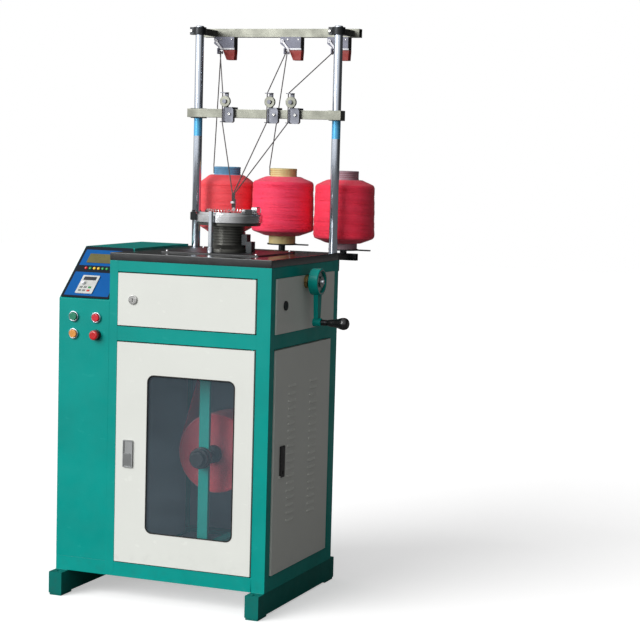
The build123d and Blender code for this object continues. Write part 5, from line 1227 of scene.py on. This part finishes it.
@dataclass
class ControlPanel(Assembly):
    """The control box, its sloping panel with screen, lamps and keypad, and the push buttons."""

    front: float = -245.0
    slope_low: float = 832.0
    slope_run: float = 148.0
    slope_rise: float = 138.0
    film: float = 3.0
    lamp_first: float = -282.0
    lamp_pitch: float = 13.2
    lamp_s: float = 114.0
    lamp_radius: float = 4.2
    key_size: tuple[float, float] = (8.6, 6.4)
    keypad_top: float = 6.0

    def place(self) -> Matrix:
        """Returns the panel's own place: X along the machine, Y up the slope, Z out of it, in metres."""
        length = math.hypot(self.slope_run, self.slope_rise)
        up = Vector((0.0, self.slope_run, self.slope_rise)) / length
        out = Vector((0.0, -self.slope_rise, self.slope_run)) / length
        turn = Matrix((Vector((1, 0, 0)), up, out)).transposed().to_4x4()
        return Matrix.Translation(spot(0, self.front, self.slope_low)) @ turn

    def plate(
        self, name: str, x: tuple[float, float], s: tuple[float, float], lift: tuple[float, float], bevel: float
    ) -> Piece:
        """Makes a small plate on the panel from its ranges in millimetres."""
        low, high = (Vector((x[end], s[end], lift[end])) * MM for end in (0, 1))
        piece = Shape.slab(name, low, high, bevel * MM)
        piece.data.transform(self.place())
        return piece

    def build(self) -> None:
        """Dresses the box and builds what sits on the panel."""
        self.dress("control_box", TEAL, 0.0006)
        place = self.place()
        overlay = Overlay(
            "panel_film", srgb(2, 88, 160), srgb(16, 22, 34), tuple(place.translation), tuple(place.col[1].xyz),
            ((-0.309, -0.172, 0.010, 0.099), (-0.309, -0.172, 0.125, 0.186)),
        )
        self.dress_all(
            ("control_fascia", overlay, 0.0005), ("display_screen", LCD, 0.0004), ("keypad", PALE_KEY, 0.0005),
            ("keypad_knob", WHITE_GLOSS, 0.0004),
        )
        self.lamps()
        self.keys()
        self.buttons()

    def lamps(self) -> None:
        """Six domed lamps, each in its own colour."""
        red, green, amber = srgb(214, 40, 30), srgb(36, 150, 70), srgb(232, 190, 40)
        radius = self.lamp_radius
        for number, colour in enumerate((red, green, amber, amber, green, green)):
            dome = [(0.0, 4.0)] + [
                (radius * math.sin(math.radians(a)), 1.2 + 2.8 * math.cos(math.radians(a))) for a in range(15, 91, 15)
            ] + [(radius, 0.0)]
            profile = [(r * MM, h * MM) for r, h in reversed(dome)]
            lens = Shape.lathe(f"lamp_{number + 1}", profile, Vector(), "Z", 32, 60)
            x = self.lamp_first + number * self.lamp_pitch
            lens.data.transform(self.place() @ Matrix.Translation(Vector((x, self.lamp_s, self.film)) * MM))
            finish = Plastic(f"lamp_{number + 1}_lens", colour, 0.18, coat=0.6, grain=0.02, glow=0.25)
            self.put(lens, finish, "cabinet", "lamp_lens", ["indicator_lamps"])

    def keys(self) -> None:
        """The keypad's dark display and its six small keys."""
        top = self.keypad_top
        window = self.plate("keypad_display", (-270, -231), (66, 79), (top, top + 0.6), 0.2)
        self.put(window, PANEL_BLACK, "cabinet", "keypad_grey")
        width, height = self.key_size
        grey = Plastic("key_grey", srgb(120, 124, 122), 0.4)
        green = Plastic("key_green", srgb(40, 140, 70), 0.4)
        red = Plastic("key_red", srgb(196, 44, 36), 0.4)
        rows = ((-266, 39, grey), (-253, 39, grey), (-266, 27, grey), (-253, 27, grey), (-239, 39, green), (-239, 27, red))
        for number, (x, s, finish) in enumerate(rows):
            across, along = (x - width / 2, x + width / 2), (s - height / 2, s + height / 2)
            key = self.plate(f"keypad_key_{number + 1}", across, along, (top, top + 0.9), 0.3)
            self.put(key, finish, "cabinet", "keypad_grey")

    def buttons(self) -> None:
        """The bezels and the four buttons."""
        solids = pieces_of(Shape.refined("button_bezels", "bezel", 0.0004))
        lowest = min(middle_of(solid).z for solid in solids)
        rightmost = max(middle_of(solid).x for solid in solids)
        for number, solid in enumerate(solids):
            middle = middle_of(solid)
            stop = middle.z < lowest + 0.01 and middle.x > rightmost - 0.01
            solid.name = f"button_bezel_{number + 1}"
            self.put(solid, BLACK_MOULDING if stop else CHROME_CAP, "cabinet", "bright_steel", ["button_bezels"])
        self.dress_all(
            ("button_green", Plastic("green_cap", srgb(20, 128, 96), 0.28, 0.4, 0.03), 0.0),
            ("button_red", Plastic("red_cap", srgb(206, 24, 44), 0.28, 0.4, 0.03), 0.0),
            ("button_orange", Plastic("orange_cap", srgb(226, 152, 66), 0.28, 0.4, 0.03), 0.0),
            ("stop_button", Plastic("stop_cap", srgb(196, 14, 22), 0.25, 0.5, 0.03), 0.0),
        )


@dataclass
class KnittingHead(Assembly):
    """The head on the table: base, ridged column, cam ring, needles, feeder and fittings."""

    axis_x: float = 86.0
    axis_y: float = -10.0
    foot_radius: float = 53.0
    foot_top: float = 977.0
    ring_top: float = 1080.0
    ring_screws: float = 84.0
    bed_z: float = 1052.0
    needle_inner: float = 62.8
    needles: int = 48

    def build(self) -> None:
        """Dresses the head and adds needles, loops and screws."""
        self.dress_all(
            ("head_base", BLACK_MOULDING, 0.0006), ("head_column", OILED_IRON, 0.0004, 24.0),
            ("cam_ring", TURNED_STEEL, 0.0005, 30.0), ("needle_cylinder", TURNED_STEEL, 0.0),
            ("bearings", BRONZE, 0.0004),
        )
        self.fittings()
        self.bed()
        self.loops()
        self.screws()

    def fittings(self) -> None:
        """The rod is bright, the ring clamp, cam blocks and bracket are dark."""
        rod_at = spot(76, -110, 1025)
        for number, solid in enumerate(pieces_of(Shape.refined("head_fittings", "fitting", 0.0005))):
            middle = middle_of(solid)
            bright = (middle - rod_at).length < 0.03
            above_ring = middle.z > spot(0, 0, 1078).z
            solid.name = f"head_fitting_{number + 1}"
            finish = CHROME_CAP if bright else (TURNED_STEEL if above_ring else DARK_STEEL)
            self.put(solid, finish, "cabinet", SLOT_OF["head_fittings"], ["head_fittings"])

    def bed(self) -> None:
        """Forty-eight latch needles, all at one height."""
        centre = spot(self.axis_x, self.axis_y, self.bed_z + 1)
        reach = self.needle_inner * MM
        piece = Repeats.ringed("latch_needles", latch_needle(), centre, self.needles, reach, 0.0, 3.0, NEEDLE_STEEL)
        half_step = Matrix.Rotation(math.pi / self.needles, 4, "Z")
        piece.data.transform(Matrix.Translation(centre) @ half_step @ Matrix.Translation(-centre))
        self.put(piece, None, "cylinder", "bright_steel", ["needles"])

    def loops(self) -> None:
        """The last rows of stitches, hung from the needles towards the cylinder's mouth."""
        strands = []
        for row in range(4):
            path = []
            steps = self.needles * 8
            for step in range(steps):
                turn = math.tau * step / steps
                beat = math.cos(turn * self.needles)
                side = math.sin(turn * self.needles * 2) * 0.25 / self.needles
                radius = 62.2 - 1.25 * row + 0.35 * math.sin(turn * self.needles)
                height = self.bed_z + 27.2 - 0.35 * row + 0.9 * beat
                angle = turn + side * 6
                x, y = self.axis_x + radius * math.cos(angle), self.axis_y + radius * math.sin(angle)
                path.append(spot(x, y, height))
            strands.append(Repeats.swept(f"loop_row_{row}", path, 0.00055, RED_STRAND, closed=True, sides=5))
        self.put(Shape.joined("stitch_loops", strands), RED_STRAND, "cylinder", "red_knit")

    def screws(self) -> None:
        """Socket screws on the base plate, the column's foot and the cam ring."""
        up = Vector((0, 0, 1))
        low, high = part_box("head_base")
        inset = 0.012
        corners = [(x, y) for x in (low.x + inset, high.x - inset) for y in (low.y + inset, high.y - inset)]
        places = [Vector((x, y, high.z)) for x, y in corners]
        places += circle_of((self.axis_x, self.axis_y, self.foot_top), self.foot_radius, 6, 0.5)
        self.fasten("base_screws", [(place, up) for place in places], 0.0034, TURNED_STEEL)
        places = circle_of((self.axis_x, self.axis_y, self.ring_top - 0.2), self.ring_screws, 14, 0.5)
        self.fasten("ring_screws", [(place, up) for place in places], 0.0028, DARK_STEEL)


@dataclass
class Drive(Assembly):
    """Hand crank, shaft, bevel gears, belt and motor."""

    axis_y: float = -10.0
    shaft_z: float = 897.0
    hub_face: float = 371.0
    motor_end: float = 238.0
    motor_at: tuple[float, float] = (185.0, 160.0)
    flange_face: float = 333.9
    flange_screws: float = 13.0
    motor_screws: float = 34.0

    def build(self) -> None:
        """Dresses the drive and adds its screws."""
        self.dress_all(
            ("bevel_pinion", TURNED_STEEL, 0.0), ("ring_gear", TURNED_STEEL, 0.0), ("drive_shaft", TURNED_X, 0.0003),
        )
        self.crank()
        self.dress_all(
            ("crank_grip", GRIP_BLACK, 0.0, 50.0), ("motor", MOTOR_GREY, 0.0008), ("motor_pulley", TURNED_X, 0.0003),
            ("drive_belt", RUBBER, 0.0003),
        )
        self.screws()

    def crank(self) -> None:
        """The enamelled crank with its bare boss, and its dark pin."""
        for solid in pieces_of(Shape.refined("crank_arm", "crank", 0.0008)):
            pin = middle_of(solid).z < spot(0, 0, 800).z
            solid.name = "crank_pin" if pin else "crank_web"
            self.put(solid, DARK_STEEL if pin else TEAL, "crank", SLOT_OF["crank_arm"], ["crank_arm"])
            if not pin:
                centre = spot(0, self.axis_y, self.shaft_z)

                def boss(face: bpy.types.MeshPolygon) -> bool:
                    """Tells whether a face is on the hub's bare middle."""
                    away = math.hypot(face.center.y - centre.y, face.center.z - centre.z)
                    return away < 0.0155 and face.center.x > spot(350, 0, 0).x

                self.recoat(solid, TURNED_X, boss)

    def screws(self) -> None:
        """A screw in the hub, three on the flange and four on the motor's end."""
        out = Vector((1, 0, 0))
        hub = [(spot(self.hub_face - 0.2, self.axis_y, self.shaft_z), out)]
        self.fasten("hub_screw", hub, 0.0065, CHROME_CAP, "crank")
        flange = (self.flange_face, self.axis_y, self.shaft_z)
        places = circle_of(flange, self.flange_screws, 3, 1.5 / math.tau, "YZ")
        places += circle_of((self.motor_end, *self.motor_at), self.motor_screws, 4, 0.5, "YZ")
        self.fasten("drive_screws", [(place, out) for place in places], 0.0024, TURNED_X)


@dataclass
class TakeDown(Assembly):
    """The turning frame below the head, the reel with its roll, and the knitted tube."""

    axis_x: float = 86.0
    axis_y: float = -10.0
    reel_z: float = 404.0
    roll_radius: float = 112.0
    roll_half: float = 68.0
    shaft_radius: float = 9.0
    turns: int = 22
    wall: float = 1.2
    web_sides: int = 96
    corner: float = 7.0
    def build(self) -> None:
        """Dresses the frame and builds the roll and the web."""
        self.dress("take_down_frame", TEAL, 0.0009)
        self.dress("reel_shaft", DARK_STEEL, 0.0005)
        self.roll()
        self.web()

    def roll(self) -> None:
        """The wound fabric: rounded shoulders and the edges of its turns at both ends."""
        end = []
        inner, outer, corner = self.shaft_radius, self.roll_radius - self.corner, self.corner
        for turn in range(self.turns * 2 + 1):
            radius = inner + (outer - inner) * turn / (self.turns * 2)
            end.append((radius, self.roll_half - (1.4 if turn % 2 else 0.1)))
        bends = [math.radians(angle) for angle in range(15, 91, 15)]
        level = self.roll_half - corner
        shoulder = [(outer + corner * math.sin(bend), level + corner * math.cos(bend)) for bend in bends]
        half = end + shoulder
        outline = [(r, -h) for r, h in half] + [(r, h) for r, h in reversed(half)]
        inner_wall = [(self.shaft_radius, self.roll_half - 0.1), (self.shaft_radius, -self.roll_half + 0.1)]
        profile = [(r * MM, h * MM) for r, h in outline + inner_wall[1:]]
        piece = Shape.lathe("fabric_roll_wound", profile, spot(self.axis_x, self.axis_y, self.reel_z), "Y", 180, 50)
        self.put(piece, ROLL_KNIT, "reel", "red_knit", ["fabric_roll"])

    def sections(self) -> list[tuple[Vector, float, float]]:
        """Returns the web's middles and half widths along X and Y, from the needles to the roll."""
        reach = self.roll_radius + 0.3 + 2.0
        mouth = 850.0
        turn = math.acos(reach / (mouth - self.reel_z))
        end_x = self.axis_x - reach * math.sin(turn)
        end_z = self.reel_z + reach * math.cos(turn)
        return [
            (Vector((self.axis_x, self.axis_y, 1076.3)), 57.4, 57.4),
            (Vector((self.axis_x, self.axis_y, 1058.0)), 32.6, 32.6),
            (Vector((self.axis_x, self.axis_y, 836.0)), 19.7, 32.6),
            (Vector((self.axis_x + (end_x - self.axis_x) * 0.5, self.axis_y, (mouth + end_z) / 2)), 4.9, 48.9),
            (Vector((end_x, self.axis_y, end_z)), 1.9, 54.9),
        ]

    def web(self) -> None:
        """The knitted tube on its way down, thin walled and flattened towards the roll."""
        rings = []
        places = self.sections()
        for (first, rx1, ry1), (second, rx2, ry2) in zip(places, places[1:]):
            steps = max(3, round((first - second).length / 12))
            for step in range(steps):
                share = step / steps
                rings.append((first.lerp(second, share), rx1 + (rx2 - rx1) * share, ry1 + (ry2 - ry1) * share))
        rings.append(places[-1])
        points, faces, corners = [], [], []
        sides = self.web_sides
        lengths = [0.0]
        for (before, _, _), (after, _, _) in zip(rings, rings[1:]):
            lengths.append(lengths[-1] + (after - before).length * MM)
        for row, (centre, rx, ry) in enumerate(rings):
            for side in range(sides):
                angle = math.tau * side / sides
                crease = 1 - 0.035 * (0.5 + 0.5 * math.sin(angle * 9 + row * 0.35)) * min(1.0, row / 6)
                x, y = centre.x + rx * crease * math.cos(angle), centre.y + ry * crease * math.sin(angle)
                points.append(spot(x, y, centre.z))
        for row, (low, high) in enumerate(zip(lengths, lengths[1:])):
            for side in range(sides):
                after = (side + 1) % sides
                here, below = row * sides, (row + 1) * sides
                faces.append((here + side, below + side, below + after, here + after))
                left, right = side / sides, (side + 1) / sides
                corners += [(left, low), (left, high), (right, high), (right, low)]
        piece = Shape.wrapped(Shape.from_data("knitted_web", points, faces), corners)
        thick = piece.modifiers.new("wall", "SOLIDIFY")
        thick.thickness = self.wall * MM
        thick.offset = -1.0
        Shape.smooth(Shape.settle(piece), 60)
        self.put(piece, WEB_KNIT, "cylinder", "red_knit", ["fabric_web"])


@dataclass
class Rack(Assembly):
    """The two posts, the bars, the yarn detectors and the disc tensioners."""

    post_radius: float = 12.5
    table_z: float = 965.0
    post_top: float = 1614.0
    posts: tuple[float, float] = (-132.0, 306.5)
    post_y: float = 231.0
    detector_x: tuple[float, float, float] = (-127.0, 88.0, 237.0)
    detector_front: float = 319.0
    tensioner_x: tuple[float, float, float] = (-13.0, 128.0, 194.0)
    tensioner_front: float = 180.0

    def build(self) -> None:
        """Dresses the rack."""
        height = self.post_top - self.table_z
        radius, chamfer = self.post_radius, 2.0
        corners = [(0.0, 0.0), (radius, 0.0), (radius, height - chamfer), (radius - chamfer, height), (0.0, height)]
        for number, x in enumerate(self.posts):
            centre = spot(x, self.post_y, self.table_z)
            post = Shape.lathe(f"rack_post_{number + 1}", rounded(corners, 0.8, 3), centre, "Z", 72, 30)
            self.put(post, POST_CHROME, "cabinet", "chrome", ["rack_posts"])
        self.dress("rack_bars", ALUMINIUM, 0.0008)
        self.clamps()
        self.detectors()
        self.dress("detector_lenses", RED_LENS, 0.0006)
        for number in range(3):
            self.dress(f"detector_lever_{number + 1}", WHITE_GLOSS, 0.0004)
            self.dress(f"tension_discs_{number + 1}", ALUMINIUM, 0.0002)
        self.dress("tensioner_frames", ZINC, 0.0006)
        self.screws()

    def clamps(self) -> None:
        """Black clamps on the posts, and the bright block at the lower bar's end."""
        for number, solid in enumerate(pieces_of(Shape.refined("rack_clamps", "clamp", 0.0007))):
            middle = middle_of(solid)
            end_block = middle.z < spot(0, 0, 1400).z and middle.y < spot(0, 207, 0).y
            solid.name = f"rack_clamp_{number + 1}"
            self.put(solid, ALUMINIUM if end_block else DARK_STEEL, "cabinet", SLOT_OF["rack_clamps"], ["rack_clamps"])

    def detectors(self) -> None:
        """Grey housings with their right sides painted black as painted shade, and a white rim below the face."""
        housing = self.dress("detector_housings", DETECTOR_GREY, 0.0006)
        # The right end faces get black moulding: painted shade on the side turned away from the light.
        ends = [spot(x + 66.0, 0, 0).x for x in self.detector_x]
        self.recoat(housing, BLACK_MOULDING, lambda f: any(abs(f.center.x - e) < 0.0025 for e in ends))
        rims = []
        for number, x in enumerate(self.detector_x):
            low = spot(x + 20, self.detector_front - 0.8, 1550)
            high = spot(x + 67.5, self.detector_front + 0.2, 1555)
            rims.append(Shape.slab(f"rim_{number}", low, high, 0.0003))
        self.put(Shape.joined("detector_rims", rims), WHITE_GLOSS, "cabinet", "white_lever")

    def screws(self) -> None:
        """Socket screws on the clamps, detectors and tensioners."""
        ahead = Vector((0, -1, 0))
        face = self.detector_front + 0.1
        places = [(spot(x + side, face, 1581), ahead) for x in self.detector_x for side in (58, 24)]
        self.fasten("detector_screws", places, 0.0022, TURNED_Y)
        places = [(spot(x + 5, self.tensioner_front + 0.1, 1357), ahead) for x in self.tensioner_x]
        places += [(spot(x - 24, self.post_y - 8 + 0.1, 1599), ahead) for x in self.posts]
        self.fasten("rack_screws", places, 0.0042, TURNED_Y)


@dataclass
class Creel(Assembly):
    """The rail behind the table with three tubes of wound yarn."""

    cone_x: tuple[float, ...] = (-88.0, 96.0, 293.0)
    cone_y: float = 350.0
    tube_bottom: tuple[float, ...] = (979.0, 979.0, 971.0)
    tube_top: tuple[float, ...] = (1202.0, 1202.0, 1200.0)
    tube_radius: float = 40.0
    tube_wall: float = 4.0
    radius: tuple[float, ...] = (85.0, 94.0, 91.0)
    bottom: tuple[float, ...] = (1004.0, 1002.0, 988.0)
    top: tuple[float, ...] = (1178.0, 1178.0, 1174.0)
    shoulder: tuple[float, ...] = (26.0, 20.0, 20.0)
    end_radius: float = 52.0
    corner: tuple[float, ...] = (16.0, 5.0, 5.0)
    tube_colours: tuple[Colour, ...] = (srgb(98, 160, 200), srgb(212, 196, 136), srgb(160, 130, 140))
    yarn_colours: tuple[tuple[Colour, Colour], ...] = (
        (srgb(255, 92, 102), srgb(240, 40, 40)), (srgb(255, 72, 108), srgb(230, 22, 50)),
        (srgb(255, 62, 92), srgb(214, 12, 34)),
    )

    def build(self) -> None:
        """Dresses the rail and builds the tubes, packages and outer windings."""
        self.dress("creel_rail", DARK_STEEL, 0.0007)
        for number in range(3):
            self.tube(number)
            self.package(number)

    def outline(self, number: int) -> Outline:
        """Returns a package's profile as (radius, height) corners in millimetres above its tube's foot."""
        foot = self.tube_bottom[number]
        low, high = self.bottom[number] - foot, self.top[number] - foot
        side, radius = self.shoulder[number], self.radius[number]
        return [
            (self.tube_radius, low), (self.end_radius, low), (radius - 3, low + side * 0.7), (radius, low + side),
            (radius - 3, high - side), (radius - 6, high - side * 0.75), (self.end_radius, high), (self.tube_radius, high),
        ]

    def tube(self, number: int) -> None:
        """A paper tube with a rolled rim and three shallow ridges below it."""
        height = self.tube_top[number] - self.tube_bottom[number]
        outer, inner = self.tube_radius, self.tube_radius - self.tube_wall
        points = [(outer, 0.0), (outer, height - 22)]
        for ridge in range(3):
            base = height - 22 + ridge * 5.5
            points += [(outer, base), (outer - 0.8, base + 1.5), (outer - 0.8, base + 3.5), (outer, base + 5)]
        points += [(outer, height - 1.5), (outer - 1.5, height), (inner + 1, height), (inner, height - 1.5)]
        profile = rounded(points + [(inner, 0.0), (outer, 0.0)], 0.8, 2)
        centre = spot(self.cone_x[number], self.cone_y, self.tube_bottom[number])
        piece = Shape.lathe(f"paper_tube_{number + 1}", profile, centre, "Z", 96, 40)
        finish = Plastic(f"tube_card_{number + 1}", self.tube_colours[number], 0.55, grain=0.2)
        self.put(piece, finish, "cabinet", "tube_card", ["cone_tubes"])

    def package(self, number: int) -> None:
        """The wound yarn, with its outermost strands crossing over it."""
        colour, shade = self.yarn_colours[number]
        finish = WoundYarn(f"wound_yarn_{number + 1}", colour, shade)
        corners = self.outline(number)
        dense = rounded(corners, self.corner[number], 8)
        profile = []
        for (x0, z0), (x1, z1) in zip(dense, dense[1:]):
            parts = max(1, round(math.hypot(x1 - x0, z1 - z0) / 0.003))
            profile += [(x0 + (x1 - x0) * n / parts, z0 + (z1 - z0) * n / parts) for n in range(parts)]
        profile += [dense[-1], dense[0]]

        def unevenness(turn: float, rise: float) -> float:
            """The slight waviness of a wound face."""
            angle = turn * math.tau
            slow = 0.0005 * math.sin(rise * 90 + 3 * math.sin(angle))
            return slow + 0.0004 * math.sin(angle * 5 + rise * 40) - 0.0009

        centre = spot(self.cone_x[number], self.cone_y, self.tube_bottom[number])
        piece = Shape.lathe(f"yarn_package_{number + 1}", profile, centre, "Z", 160, 60, unevenness)
        self.put(piece, finish, "cabinet", "red_yarn", ["yarn_packages"])
        self.windings(number, finish, centre)

    def windings(self, number: int, finish: WoundYarn, centre: Vector) -> None:
        """Loose outer strands that climb and fall on the package."""
        low = (self.bottom[number] - self.tube_bottom[number] + self.shoulder[number] + 3) * MM
        high = (self.top[number] - self.tube_bottom[number] - self.shoulder[number] - 3) * MM
        strands = []
        for way in range(4):
            path = []
            turns, steps = 7, 7 * 56
            for step in range(steps + 1):
                share = step / steps
                climb = share if way % 2 == 0 else 1 - share
                height = low + (high - low) * (0.5 - 0.5 * math.cos(math.pi * climb))
                radius = (self.radius[number] - 3.0 * (height - low) / (high - low)) * MM - 0.0006
                angle = math.tau * (turns * share + way * 0.23 + number * 0.31)
                path.append(centre + Vector((radius * math.cos(angle), radius * math.sin(angle), height)))
            strands.append(Repeats.swept(f"winding_{number}_{way}", path, 0.00055, finish, sides=5))
        whole = Shape.joined(f"outer_windings_{number + 1}", strands)
        self.put(whole, finish, "cabinet", "red_yarn")


@dataclass
class Yarns(Assembly):
    """The three taut strands from the packages to the feeder."""

    def build(self) -> None:
        """Dresses the strands."""
        self.dress("yarns", DARK_YARN, 0.0, 60.0)


def main() -> None:
    """Builds the studio and every sub-assembly in order."""
    Studio().build()
    for assembly in (Cabinet(), ControlPanel(), KnittingHead(), Drive(), TakeDown(), Rack(), Creel(), Yarns()):
        assembly.build()
        LOG.info("%s is done", type(assembly).__name__)


if __name__ == "__main__":
    main()
